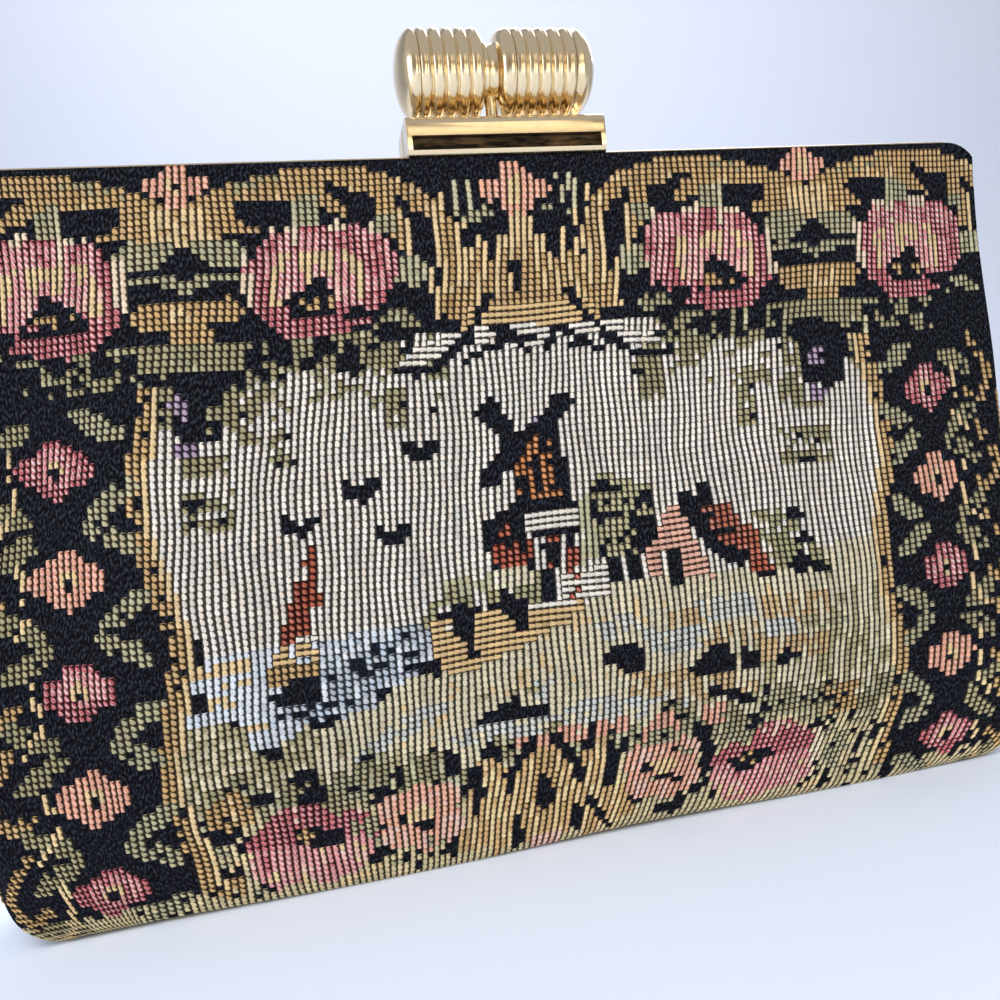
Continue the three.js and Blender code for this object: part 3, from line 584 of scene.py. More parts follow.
    # the meadow: ochre earth, pale paths and dark tufts
    for x0, x1, s0, s1 in ((14, 21, 69, 72.4), (20, 30, 72, 75.4), (30, 42, 68.6, 73), (30, 42, 75, 79),
        (9, 22, 77.6, 82.6), (20, 30, 79.6, 83)):
        lay("ochregrass", patch(X, x0, x1, s0, s1), 0.62, "columns")
    for points in (
        ((4.6, 69), (10, 68), (12, 71), (6, 72)),
        ((11.6, 71), (22, 71.6), (21, 75.4), (13, 74.6)),
        ((20, 68), (30, 68), (30, 71.6), (22, 71.6)),
        ((30.6, 72.4), (36.6, 72.4), (36, 75), (31, 75)),
        ((-31.6, 82.4), (-26, 79.4), (-18.6, 76), (-17.4, 78), (-22, 80.6), (-31, 83.8)),
        ((-18, 82), (-6, 81), (-1, 82), (-1, 84), (-17, 84)),
        ((-3, 81.6), (3, 80), (9, 80.8), (18, 82.4), (18, 84.4), (-2, 84)),
        ((-5.4, 76), (-2, 76), (-2.6, 79.6), (-4.8, 79)),
    ):
        lay("mint", outline(X, *points), 0.7, "columns")
    lay("black", outline(X, (4.8, 74.4), (7, 72.4), (10.6, 72.4), (11.8, 74.6), (10.6, 78), (8.6, 77),
        (7.4, 75.6), (5, 75.8)))
    lay("black", outline(X, (18.6, 78), (21, 76.6), (22.6, 75), (24.8, 74.8), (26.4, 77.8), (26.2, 79.8),
        (22, 79.2), (19.4, 79.6)) | outline(X, (26.8, 75.6), (29.8, 77.2), (29.8, 79.8), (27, 79.2)))
    lay("black", outline(X, (32.8, 78.6), (35, 77.4), (37.2, 79), (33.4, 80)) | stroke(X, 1.7, (22, 82.4),
        (25.4, 83), (28.4, 84.6)) | stroke(X, 1.6, (31, 83.6), (31.8, 87)) | stroke(X, 1.9, (36, 86.2),
        (37.6, 89)))
    lay("black", outline(X, (-14, 80.6), (-10, 78.8), (-8, 77.2), (-6.8, 79.6), (-3.4, 80), (-3, 82),
        (-6, 81), (-13.6, 81)))
    lay("darkgrass", patch(X, -14, -2, 73, 79), 0.24, "rows")

    # the foot: gold palmette, coral flowers, roses and leaves on black
    foot_line = 84.8 + 1.6 * np.sin(X * 0.7) + 1.1 * np.sin(X * 0.29)
    lay("black", S > foot_line)
    lay("olive", (S > foot_line) & (S < foot_line + 6), 0.78, "rows")
    lay("sagecord", (S > foot_line) & (S < foot_line + 7), 0.3, "columns")
    lay("edge", S > foot_line + 5, 0.6, "columns")
    lay("sage", S > foot_line + 5, 0.26, "rows")
    for cx, cy, rx, ry in (
        (-38.5, 84.6, 1.9, 1.0), (-44, 87, 1.5, 1.2), (-37.4, 88.0, 1.9, 1.7), (-31.8, 87.6, 1.1, 1.8),
        (-27.6, 90.6, 1.5, 2.2), (-25.5, 86.6, 1.0, 1.4), (-28.2, 98.6, 1.3, 1.8), (-18, 86.4, 1.2, 2.2),
        (-12.6, 86.6, 1.1, 1.4), (-15.6, 91.6, 1.0, 2.0), (-50.4, 91.6, 3.2, 1.4), (-46.4, 98.4, 1.0, 1.6),
        (23.6, 99.4, 1.2, 1.8), (19.4, 98.8, 1.3, 1.6), (15, 102, 2.4, 1.6), (29.4, 88.2, 1.2, 1.0),
        (40.6, 91.4, 1.6, 1.2), (44.6, 88, 1.4, 1.6), (26.4, 90.8, 1.2, 0.9), (-52, 99.4, 2.2, 1.2),
    ):
        lay("black", oval(X, cx, cy, rx, ry))
    lay("black", stroke(X, 2.2, (17.5, 86), (20, 88), (21.8, 92), (22.2, 95.4)) | stroke(X, 1.4,
        (13, 87.5), (17, 91)))
    lay("black", stroke(X, 1.6, (-34, 98), (-31.6, 97), (-30, 100)))
    lay("coral", patch(X, -9, 8.6, 84.0, 86.0) | patch(X, 1.6, 4.6, 85, 87.4), 0.78)
    lay("coral", outline(X, (10, 90), (11, 86.4), (13.4, 84.6), (16.4, 84.4), (17, 88), (14, 87.4),
        (12.6, 91)))
    lay("coral", outline(X, (20.4, 84), (25, 84), (24.6, 87.6), (21.4, 88.4)), 0.85)
    # the palmette and its side fronds
    lay("goldcord", outline(F, (0, 85.8), (1.6, 86.2), (3.6, 89.6), (6, 89), (7.4, 86.4), (10.2, 87),
        (11.2, 92), (12.4, 96), (14, 100), (14, 106), (0, 106)))
    lay("gold", outline(F, (0.8, 88), (3.0, 91), (3.2, 97.6), (0.8, 98.6)))
    for points in (
        ((1.8, 88.6), (2.8, 94), (1.8, 99), (1.4, 106)),
        ((4.0, 91), (4.8, 96), (3.4, 106)),
        ((8.6, 87.6), (7, 92), (6.6, 98), (5.2, 106)),
        ((9.6, 88.4), (8.4, 95), (8.6, 106)),
        ((11.6, 94), (11.0, 99), (10.4, 106)),
    ):
        lay("straw", stroke(F, 1.1, *points))
    lay("black", stroke(F, 1.5, (1.6, 85.4), (3.4, 87.8), (5.2, 90.2), (5.4, 93))
        | oval(F, 0.1, 94.2, 1.2, 3.0))
    lay("black", stroke(F, 1.3, (10.4, 88), (9.8, 92), (10.4, 95)) | stroke(F, 1.8, (4.6, 98.6),
        (4.4, 103.4)))
    lay("black", stroke(F, 1.5, (7.6, 84.8), (6.6, 87.4)))
    lay("black", stroke(X, 1.3, (8, 88), (6.6, 92), (5.5, 95)) | stroke(X, 1.2, (2.4, 97), (4, 100),
        (5.5, 103.4)))
    # coral flowers
    for cx, cy in ((-22.8, 94.4), (14.4, 93.8)):
        for dx, dy, rx, ry in ((-3.6, -2, 2.9, 2.6), (3.2, -2.4, 2.8, 2.4), (-3.2, 2.4, 2.9, 2.6),
            (0.4, 3.4, 2.4, 2.6), (3.4, 2.2, 2.8, 2.8), (0, -3.0, 2.2, 2.2)):
            lay("coral", oval(X, cx + dx, cy + dy, rx, ry))
            lay("blush", oval(X, cx + dx * 1.2, cy + dy * 1.2, rx * 0.7, ry * 0.7), 0.5, "columns")
        lay("sage", oval(X, cx, cy, 6.4, 5.4), 0.16, "rows")
        lay("black", oval(X, cx, cy, 6.4, 5.4), 0.1, "rows")
        lay("straw", oval(X, cx, cy - 0.4, 2.2, 1.4), 0.9, "columns")
        lay("black", oval(X, cx + 0.2, cy + 1.7, 1.9, 0.7) | oval(X, cx - 2.8, cy - 0.2, 0.8, 1.0), 0.9)
    # roses
    for points, heart, gold_spot in (
        (
            ((-44.6, 91.6), (-42, 89), (-36.8, 88.8), (-34.8, 91.6), (-31, 91.2), (-29, 94.6), (-30, 99),
                (-33, 101.4), (-38, 103), (-44, 102.4), (-47.4, 99.6), (-47.2, 94)),
            ((-41.4, 93.2), (-38, 92.8), (-34.4, 94.2), (-33.4, 96.4), (-36.6, 96.6), (-39.8, 95.8)),
            (-39, 94.2),
        ),
        (
            ((22.4, 94), (25, 92), (28.6, 92.4), (30.2, 89.6), (36, 89.2), (37.4, 91), (40, 91.6),
                (40.6, 96), (39, 100.6), (34, 103.6), (27, 103.8), (23.6, 101.4), (22.2, 97.4)),
            ((25, 95.4), (27.6, 93.8), (31.4, 93.6), (33, 95), (29.6, 97.2), (26.4, 97.2)),
            (29, 95.2),
        ),
    ):
        lay("rose", outline(X, *points))
        bloom = outline(X, *points) & (S > 95.4)
        lay("petal", bloom, 0.86, "columns")
        lay("blush", bloom & (S > 97), 0.36, "columns")
        lay("straw", bloom & (S > 96.4), 0.2, "columns")
        lay("blush", outline(X, *points) & (S < 91.6), 0.3, "columns")
        lay("black", outline(X, *heart))
        lay("gold", oval(X, *gold_spot, 1.5, 1.1), 0.7)
    lay("straw", stroke(X, 1.1, (-50, 97.4), (-46.6, 95.4)) | stroke(X, 1.1, (-46, 103.6), (-36, 104),
        (-29, 101)), 0.9)
    lay("cream", outline(X, (40, 91.4), (41.4, 91.6), (41.6, 97), (39.6, 101.4), (39.6, 97)), 0.8, "columns")
    lay("straw", stroke(X, 1.2, (24, 103.6), (33, 104.8), (41, 101.6)), 0.8)
    # leaves between the flowers
    for x0, x1, s0, s1 in ((12, 16, 87, 90), (17, 19.4, 86, 89), (22.6, 28.6, 88, 91.6),
        (-33, -29.4, 92.6, 96), (-35, -30, 84.6, 90), (-53, -49, 93, 97.4), (31, 39, 84, 88.6)):
        lay("sage", patch(X, x0, x1, s0, s1), 0.8)
    lay("gold", outline(X, (-52, 87.4), (-48, 85), (-45.6, 86.4), (-46, 90.6), (-49.4, 91), (-52, 90)), 0.92)
    lay("straw", outline(X, (-50, 86.6), (-47, 85.8), (-47.6, 90)), 0.6, "columns")
    lay("gold", patch(X, 41.6, 47, 84.4, 90) | patch(X, -52, -48.4, 99, 102.6), 0.8)
    lay("sage", patch(X, 41.8, 46, 93, 99), 0.85)
    lay("edge", S > 102.4 + 0.8 * np.sin(X * 0.5), 0.85, "columns")
    lay("blush", patch(X, -9, -1.6, 101.6, 106), 0.7, "columns")

    # the outer borders, a column of flowers between gold rails
    side = np.abs(X)
    rail = 52.6 + 1.6 * np.sin(S * 0.17)
    border = (S > 30) & (S < 101)
    lay("black", (side > rail) & border)
    lay("black", patch(side, 68, 90, 25, 31))
    lay("straw", (np.abs(side - rail) < 0.6) & border)
    lay("gold", (np.abs(side - rail - 1.6) < 1.1) & border)
    lay("black", (np.abs(side - rail - 1.6) < 1.1) & border, 0.12)
    for k in range(5):
        cy, bloom = 38 + k * 14.5, ("rose", "coral")[k % 2]
        for dx, dy in ((0, 0), (2.5, 1.5), (-2.3, 1.7), (0.4, 3.3)):
            lay(bloom, oval(side, 65 + dx, cy + dy, 2.5, 2.2))
        lay("petal" if bloom == "rose" else "coral", oval(side, 65.1, cy + 1.4, 3.4, 2.4), 0.6, "columns")
        lay("straw", oval(side, 65.1, cy + 1.6, 1.2, 1.3), 0.9, "columns")
        lay("black", oval(side, 65.2, cy + 2.2, 0.7, 0.7))
        for dx, dy, slope in ((-6.8, 5, 0.5), (6.2, -3.4, 0.5), (-6, -4.6, -0.5), (6.8, 6, -0.5)):
            leaf = oval(side, 65 + dx, cy + 1 + dy + slope * (side - 65 - dx), 3.6, 1.7)
            lay("sage" if dx < 0 else "olive", leaf, 0.92)
        lay("gold", stroke(side, 1.5, (74.6, cy - 6), (78, cy), (76, cy + 5), (73.4, cy + 3)), 0.9)
        lay("straw", stroke(side, 0.9, (71, cy - 1), (70.4, cy + 6), (73, cy + 9.6)), 0.8)
    lay("gold", (np.abs(side - 80.8) < 1.1) & border, 0.9)
    return yarn


def woven_half(name, seed, spin):
    """One half of the cloth, with two quads to a stitch each way, its cords raised and its yarns coloured."""
    columns, rows = STITCHES
    draw = np.random.default_rng(seed)
    c, r = np.meshgrid((np.arange(columns) + 0.5) - HALF_COLUMNS, np.arange(rows) + 0.5)
    run, fall = stitch_place(c, r)
    yarn = chart(run / STITCH + 0.64, fall / STITCH, draw)
    names = list(YARNS)
    index = np.vectorize(names.index)(yarn)
    base = np.array([linear(YARNS[n][0])[:3] for n in names])[index]
    gaps = np.array([YARNS[n][1:] for n in names])[index]
    shade = 1 + 0.075 * draw.standard_normal(index.shape) + 0.05 * draw.standard_normal((1, columns))
    cool = 0.02 * draw.standard_normal(index.shape)
    colour = base * shade[..., None] + np.stack([-cool, 0 * cool, cool], axis=-1) * base
    # paler towards the base: painted light, standing in for the floor's bounce onto the foot
    painted_floor_light = np.clip((fall / STITCH - 80) / 12, 0, 1)
    colour = np.clip(colour * (1 + 0.30 * painted_floor_light)[..., None], 0.004, 1)

    # heights at the half-stitch corners: proud in a cord's middle, sunk where two stitches meet
    i, j = np.meshgrid(np.arange(2 * columns + 1), np.arange(2 * rows + 1))
    beside = np.clip((i - 1) // 2, 0, columns - 1), np.clip(i // 2, 0, columns - 1)
    above_below = np.clip((j - 1) // 2, 0, rows - 1), np.clip(j // 2, 0, rows - 1)
    mean = sum(gaps[a, b] for a in above_below for b in beside) / 4
    lift = mean[..., 3] - 0.42 * mean[..., 0] * (i % 2 == 0) - 0.22 * mean[..., 1] * (j % 2 == 0)
    run, fall = stitch_place(i / 2 - HALF_COLUMNS, j / 2)
    fall[0], fall[-1] = 0, drop[-1] + base_half
    under = np.clip(fall - drop[-1], 0, base_half)
    skin = cloth_point(run, np.interp(fall, drop, fine), under)
    past = np.clip(np.abs(skin[..., 0]) - (FRAME_WIDTH / 2 - FRAME_CORNER), 0, FRAME_CORNER) / FRAME_CORNER
    crown = CLOTH_HEIGHT - 0.9 * FRAME_CORNER * (1 - np.sqrt(1 - past**2))
    skin[..., 2] = np.minimum(skin[..., 2], crown)
    du, dv = np.gradient(skin, axis=1), np.gradient(skin, axis=0)
    normal = np.cross(dv, du)
    normal /= np.linalg.norm(normal, axis=-1, keepdims=True)
    lift = lift * np.clip((drop[-1] + 2 - fall) / 6, 0.25, 1)
    points = skin + normal * lift[..., None]
    # the base is soft, and stands on a few low places with shallow rises between
    rise = 0.45 * (1 + np.sin(run / 15.0 + 0.6)) * np.exp(-((skin[..., 2] / 7.0) ** 2)) * np.exp(-under / 3.0)
    points[..., 2] = np.maximum(points[..., 2], 0.0) + rise

    # a turned edge: the cloth's own thickness, then a narrow hem inside
    wide, tall = 2 * columns + 1, 2 * rows + 1
    grid = np.arange(wide * tall).reshape(tall, wide)
    quads = np.stack([grid[:-1, :-1], grid[1:, :-1], grid[1:, 1:], grid[:-1, 1:]], axis=-1).reshape(-1, 4)
    rim = np.concatenate([grid[::-1, 0], grid[0, 1:], grid[1:, -1]])
    hem = (skin - normal * CLOTH_THICKNESS).reshape(-1, 3)[rim]
    points = np.concatenate([points.reshape(-1, 3), hem])
    ring = wide * tall + np.arange(len(rim))
    edges = np.stack([rim[:-1], ring[:-1], ring[1:], rim[1:]], axis=-1)
    quads = np.concatenate([quads, edges])
    if spin:
        points = points * (-1, -1, 1)
    made = mesh_object(name, points.tolist(), quads.tolist())

    cell = (np.arange(2 * rows)[:, None] // 2, np.arange(2 * columns)[None, :] // 2)
    per_face = np.concatenate([colour[cell].reshape(-1, 3), np.tile(base[0, 0], (len(edges), 1))])
    gap_face = np.concatenate([gaps[cell][..., :3].reshape(-1, 3), np.zeros((len(edges), 3))])
    for label, values in (("yarn", per_face), ("gaps", gap_face)):
        layer = made.data.color_attributes.new(label, "FLOAT_COLOR", "CORNER")
        rgba = np.concatenate([np.repeat(values, 4, axis=0), np.ones((4 * len(values), 1))], axis=1)
        layer.data.foreach_set("color", rgba.astype(np.float32).ravel())
    stitch = np.stack([i / 2, j / 2, 0 * i], axis=-1).reshape(-1, 3)
    stitch = np.concatenate([stitch, stitch[rim]])
    layer = made.data.attributes.new("stitch", "FLOAT_VECTOR", "POINT")
    layer.data.foreach_set("vector", stitch.astype(np.float32).ravel())
    return made


# Wool and cotton yarn: matt and a little hairy, dark where the warp shows between cords, and that dark is
# also painted shade in the grooves.
# Each cord is two plies twisted together, seen as fine slanting lines about 0.4 mm apart.
tapestry, tree, shader = start_material("woven_wool_and_cotton")
yarn_in = node(tree, "ShaderNodeAttribute", {"attribute_name": "yarn"})
gaps_in = node(tree, "ShaderNodeAttribute", {"attribute_name": "gaps"})
spot = node(tree, "ShaderNodeAttribute", {"attribute_name": "stitch"})
place = node(tree, "ShaderNodeSeparateXYZ", Vector=spot.outputs["Vector"])
across, down = place.outputs[0], place.outputs[1]
gap = node(tree, "ShaderNodeSeparateColor", Color=gaps_in.outputs["Color"])
column_gap, row_gap, fleck_share = gap.outputs[0], gap.outputs[1], gap.outputs[2]
# a stitch is a slanting bead: full in the middle of its row, and pinched more at its right than at its left
share_across = maths(tree, "FRACT", across)
corded = ramp(tree, column_gap, 0.4, 0.75)
skewed = maths(tree, "MULTIPLY_ADD", maths(tree, "MULTIPLY", share_across, corded), -0.4, down)
pinched = maths(tree, "MULTIPLY", row_gap, maths(tree, "MULTIPLY_ADD", share_across, 1.1, 0.45))
profile = []
for along_axis, depth_of in ((across, column_gap), (skewed, pinched)):
    arch = maths(tree, "SINE", maths(tree, "MULTIPLY", maths(tree, "FRACT", along_axis), math.pi))
    depth = maths(tree, "MULTIPLY", maths(tree, "SUBTRACT", 1.0, arch), depth_of)
    profile.append(maths(tree, "SUBTRACT", 1.0, depth))
cord = maths(tree, "MULTIPLY", *profile)
fuzz = node(tree, "ShaderNodeTexNoise", Vector=spot.outputs["Vector"], Scale=4.0, Detail=6.0, Roughness=0.7)
fuzz = fuzz.outputs["Fac"]
ragged = maths(tree, "ADD", cord, ramp(tree, fuzz, 0.25, 0.75, -0.14, 0.14))
seen = ramp(tree, ragged, 0.40, 0.76, kind="SMOOTHSTEP")
slant = maths(tree, "MULTIPLY_ADD", across, -1.2, down)
twist = maths(tree, "SINE", maths(tree, "MULTIPLY", slant, 2 * math.pi * 2))
ply = maths(tree, "MULTIPLY", twist, corded)
pair = maths(tree, "SINE", maths(tree, "MULTIPLY", slant, 2 * math.pi))
worn = node(tree, "ShaderNodeTexNoise", Vector=spot.outputs["Vector"], Scale=0.06, Detail=3.0)
fibre = ramp(tree, fuzz, 0.3, 0.7, 0.80, 1.15)
fade = ramp(tree, worn.outputs["Fac"], 0.3, 0.7, 0.93, 1.06)
ply_shade = maths(tree, "MULTIPLY_ADD", ply, 0.08, 1.0)
bright = maths(tree, "MULTIPLY", maths(tree, "MULTIPLY", fibre, fade), ply_shade)
plain = node(tree, "ShaderNodeVectorMath", {"operation": "SCALE"}, Vector=yarn_in.outputs["Color"])
tree.links.new(bright, plain.inputs["Scale"])
# flecked yarns: the second ply is paler, and it shows only along the crown of a cord, where it is a painted
# highlight
strand = ramp(tree, maths(tree, "MULTIPLY_ADD", fuzz, 3.0, pair), 1.5, 2.2)
pale_ply_and_crown_highlight = maths(tree, "MULTIPLY", strand, ramp(tree, cord, 0.5, 1.0))
two_ply = blend(tree, maths(tree, "MULTIPLY", pale_ply_and_crown_highlight, fleck_share), plain.outputs[0], "#f6e6dc")
# between the cords the dark warp shows, with a little of the yarn's colour on it; its near-black is also
# painted shade in the grooves between cords
face = blend(tree, seen, blend(tree, 0.06, "#0d0a0b", two_ply), two_ply)
# the black ground is woven flat, and the light its binding threads catch is painted as short slanting
# blue-grey specks
slanted = {"Rotation": (0, 0, 0.35), "Scale": (3.4, 1.5, 1.0)}
grain = node(tree, "ShaderNodeMapping", Vector=spot.outputs["Vector"], **slanted)
binding = node(tree, "ShaderNodeTexNoise", Vector=grain.outputs["Vector"], Scale=1.0, Detail=2.0)
flat = [maths(tree, "SUBTRACT", 1.0, depth_of) for depth_of in (column_gap, row_gap)]
thread = ramp(tree, binding.outputs["Fac"], 0.48, 0.70)
painted_glint = maths(tree, "MULTIPLY", maths(tree, "MULTIPLY", *flat), thread)
face = blend(tree, painted_glint, face, "#3c3f49")
nap = maths(tree, "MULTIPLY_ADD", fuzz, 0.3, maths(tree, "MULTIPLY_ADD", ply, 0.10, cord))
finish(tree, shader, face, nap, 0.6, 0.0004, 0.86)
shader.inputs["Specular IOR Level"].default_value = 0.04

for name, seed, spin in (("tapestry_front", 7, False), ("tapestry_back", 7, True)):
    half = woven_half(name, seed, spin)
    half.data.materials.append(tapestry)
    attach(half, "root")
    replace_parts(half, "tapestry_wrap")

# The side gussets: plain black ribbed cloth, folded inward like a bellows so that the frame can shut.
# They are sewn inside the tapestry's side seams, so only the fold's edge shows between the two halves.
GUSSET_THICKNESS, GUSSET_FOLD, SEAM_TURNING = 1.2, 9.0, 0.4
GUSSET_TOP, GUSSET_FOOT = 81.2, 2.0
gusset_top, gusset_low = GUSSET_TOP / CLOTH_HEIGHT, GUSSET_FOOT / CLOTH_HEIGHT
gusset_cloth, tree, shader = start_material("black_ribbed_cotton")
spot = node(tree, "ShaderNodeAttribute", {"attribute_name": "rib"})
place = node(tree, "ShaderNodeSeparateXYZ", Vector=spot.outputs["Vector"])
fuzz = node(tree, "ShaderNodeTexNoise", Vector=spot.outputs["Vector"], Scale=6.0, Detail=5.0)
wale = maths(tree, "SINE", maths(tree, "MULTIPLY", place.outputs[0], 2 * math.pi))
# paler on each rib's crown and darker between ribs: painted shading of the ribs, mottled by the fuzz
rib_painted_shading = maths(tree, "MULTIPLY", ramp(tree, wale, -1.0, 1.0, 0.0, 0.75), fuzz.outputs["Fac"])
nap = maths(tree, "MULTIPLY_ADD", fuzz.outputs["Fac"], 0.5, wale)
finish(tree, shader, blend(tree, rib_painted_shading, "#17171b", "#494952"), nap, 0.5, 0.0002, 0.88)
shader.inputs["Sheen Weight"].default_value = 0.15


def gusset(name, side):
    tall, wide = 96, 24
    share = np.linspace(gusset_top, gusset_low, tall + 1)[:, None]
    v = np.linspace(-1, 1, wide + 1)[None, :]
    step = 0.01
    rise = (np.minimum(share, step) + step) * CLOTH_HEIGHT

    def seam_at(level):
        half_width, roll, _, _, edge = cloth_section(level)
        return half_width, edge - SIDE_ROLL * (1 - np.cos(roll))

    (width, depth), high, low = seam_at(share), seam_at(share + step), seam_at(np.maximum(share - step, 0))
    wall = [(CLOTH_THICKNESS + 0.3) * np.hypot(1, (high[k] - low[k]) / rise) for k in (0, 1)]
    t = np.clip((share - gusset_low) / (gusset_top - gusset_low), 0, 1)
    fold = SEAM_TURNING + GUSSET_FOLD * t * t * (3 - 2 * t)
    crease = (1 + np.cos(np.pi * v)) / 2
    slack = 0.25 * np.sin(share * CLOTH_HEIGHT / 4.7) * np.sin(np.pi * np.abs(v))
    x = width - wall[0] - SEAM_TURNING - fold * crease + slack * t
    y = v * (depth - wall[1])
    ribs_across = y / STITCH
    x = x + 0.12 * np.sin(ribs_across * 2 * np.pi)
    outer = np.stack([side * x, y, share * CLOTH_HEIGHT + 0 * x], axis=-1)
    inner = outer - (side * GUSSET_THICKNESS, 0, 0)
    count = (tall + 1) * (wide + 1)
    grid = np.arange(count).reshape(tall + 1, wide + 1)
    quads = np.stack([grid[:-1, :-1], grid[1:, :-1], grid[1:, 1:], grid[:-1, 1:]], axis=-1).reshape(-1, 4)
    rim = np.concatenate([grid[:-1, 0], grid[-1, :-1], grid[:0:-1, -1], grid[0, :0:-1]])
    after = np.roll(rim, -1)
    skirt = np.stack([rim, rim + count, after + count, after], axis=-1)
    quads = np.concatenate([quads, quads[:, ::-1] + count, skirt[:, ::-1]])
    if side < 0:
        quads = quads[:, ::-1]
    points = np.concatenate([outer.reshape(-1, 3), inner.reshape(-1, 3)])
    made = mesh_object(name, points.tolist(), quads.tolist())
    rib = np.stack([ribs_across, share * CLOTH_HEIGHT / STITCH + 0 * x, 0 * x], axis=-1).reshape(-1, 3)
    layer = made.data.attributes.new("rib", "FLOAT_VECTOR", "POINT")
    layer.data.foreach_set("vector", np.concatenate([rib, rib]).astype(np.float32).ravel())
    made.data.materials.append(gusset_cloth)
    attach(made, "root")
    return made


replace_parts(gusset("gusset_left_cloth", -1), "gusset_left")
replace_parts(gusset("gusset_right_cloth", 1), "gusset_right")

# The frame: two halves of rolled steel channel, plated pale gilt, that grip the cloth's top edge.
# Only a thin bright line of each shows above the cloth, and its arms run down inside the sides to the hinges.
CHANNEL_HEIGHT, CHANNEL_WALL, CHANNEL_DEPTH, HALF_GAP = 6.0, 0.8, 5.0, 0.6
HINGE_Z, PIN_RADIUS, PIN_HEAD, EYE_MARGIN = 88.0, 1.5, 2.6, 0.8
gilt, tree, shader = start_material("polished_pale_gilt")
where = node(tree, "ShaderNodeTexCoord")
on_piece = where.outputs["Object"]
scuff = node(tree, "ShaderNodeTexNoise", Vector=on_piece, Scale=260.0, Detail=6.0, Roughness=0.6)
haze = node(tree, "ShaderNodeTexNoise", Vector=on_piece, Scale=34.0, Detail=3.0)
tarnish = blend(tree, haze.outputs["Fac"], "#e8cda0", "#f0dcb6")
rub = ramp(tree, scuff.outputs["Fac"], 0.35, 0.75, 0.13, 0.27)
finish(tree, shader, tarnish, scuff.outputs["Fac"], 0.06, 0.0001, rub)
shader.inputs["Metallic"].default_value = 1.0


def ride_and_replace(made, *nodes):
    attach(made, "root")
    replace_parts(made, *nodes)
    return made


def finish_metal(made, *nodes):
    made.data.materials.append(gilt)
    return ride_and_replace(made, *nodes)


def swept_channel(name, node_name, spin):
    """A C section, open towards the pouch, carried up one arm, over the top and down the other."""
    outer, corner = FRAME_WIDTH / 2, FRAME_CORNER
    foot = HINGE_Z - PIN_HEAD - EYE_MARGIN
    inside, under = outer - corner, FRAME_TOP - corner
    turns = [(math.cos(a), math.sin(a)) for a in np.radians(np.arange(0, 91, 10))]
    path = [(-outer, foot, -1, 0), (-outer, under, -1, 0)]
    path += [(-inside - corner * c, under + corner * s, -c, s) for c, s in turns]
    path += [(inside + corner * s, under + corner * c, s, c) for c, s in turns]
    path += [(outer, foot, 1, 0)]
    front, back = -HALF_GAP / 2 - CHANNEL_DEPTH, -HALF_GAP / 2
    soft, wall = 0.7, CHANNEL_WALL
    edge = [(soft * math.cos(a), soft * math.sin(a)) for a in np.radians(np.arange(0, 91, 18))]
    ring = [(front + soft - c, -soft + s) for c, s in edge]
    ring += [(back - soft + s, -soft + c) for c, s in edge]
    ring += [(back, -CHANNEL_HEIGHT), (back - wall, -CHANNEL_HEIGHT), (back - wall, -wall)]
    ring += [(front + wall, -wall), (front + wall, -CHANNEL_HEIGHT), (front, -CHANNEL_HEIGHT)]
    points, faces, n = [], [], len(ring)
    for x, z, nx, nz in path:
        # the flanges' lower edge follows a mitred inner line, so the corner never folds over itself
        for y, d in ring:
            reach = min(-d, CHANNEL_HEIGHT)
            points.append((x - nx * reach, y, z - nz * reach))
    for k in range(len(path) - 1):
        for m in range(n):
            a, b = k * n + m, k * n + (m + 1) % n
            faces.append((a, b, b + n, a + n))
    faces.append(tuple(range(n - 1, -1, -1)))
    faces.append(tuple((len(path) - 1) * n + m for m in range(n)))
    if spin:
        points = [(-x, -y, z) for x, y, z in points]
    made = mesh_object(name, points, faces, smooth=False)
    for polygon in made.data.polygons:
        polygon.use_smooth = True
    made.data.set_sharp_from_angle(angle=math.radians(40))
    return finish_metal(made, node_name)


swept_channel("frame_channel_front", "frame_front", False)
swept_channel("frame_channel_back", "frame_back", True)


# The hinge pins: turned steel rivets through the four eyes, their heads peened to a low dome.
def turned(name, profile, sides, axis_turn, place):
    """A lathe shape from (radius, station) pairs that start and end on the axis."""
    points, faces = [], []
    inner = profile[1:-1]
    for radius, station in inner:
        for k in range(sides):
            a = 2 * math.pi * k / sides
            points.append(Vector((radius * math.cos(a), radius * math.sin(a), station)))
    for ring in range(len(inner) - 1):
        for k in range(sides):
            a, b = ring * sides + k, ring * sides + (k + 1) % sides
            faces.append((a, b, b + sides, a + sides))
    low, high = len(points), len(points) + 1
    points += [Vector((0, 0, profile[0][1])), Vector((0, 0, profile[-1][1]))]
    last = (len(inner) - 1) * sides
    for k in range(sides):
        faces.append((low, (k + 1) % sides, k))
        faces.append((high, last + k, last + (k + 1) % sides))
    move = Matrix.Translation(place) @ axis_turn
    return mesh_object(name, [tuple(move @ p) for p in points], faces)


along_y = Matrix.Rotation(math.radians(-90), 4, "X")
along_x = Matrix.Rotation(math.radians(90), 4, "Y")
pin_reach = HALF_GAP / 2 + CHANNEL_DEPTH + 0.3
dome_turns = np.radians(np.arange(0, 86, 12))
head = [(PIN_HEAD * math.cos(a), pin_reach + 0.35 + 0.55 * math.sin(a)) for a in dome_turns]
half_pin = [(PIN_RADIUS, pin_reach), (PIN_HEAD - 0.1, pin_reach), (PIN_HEAD, pin_reach + 0.12)] + head
other_half = [(r, -s) for r, s in half_pin[::-1]]
pin_profile = [(0, -pin_reach - 0.9)] + other_half + half_pin + [(0, pin_reach + 0.9)]
for name, side in (("left", -1), ("right", 1)):
    centre = Vector((side * (FRAME_WIDTH / 2 - CHANNEL_HEIGHT / 2), 0, HINGE_Z))
    finish_metal(turned(f"rivet_{name}", pin_profile, 32, along_y, centre), f"hinge_pin_{name}")

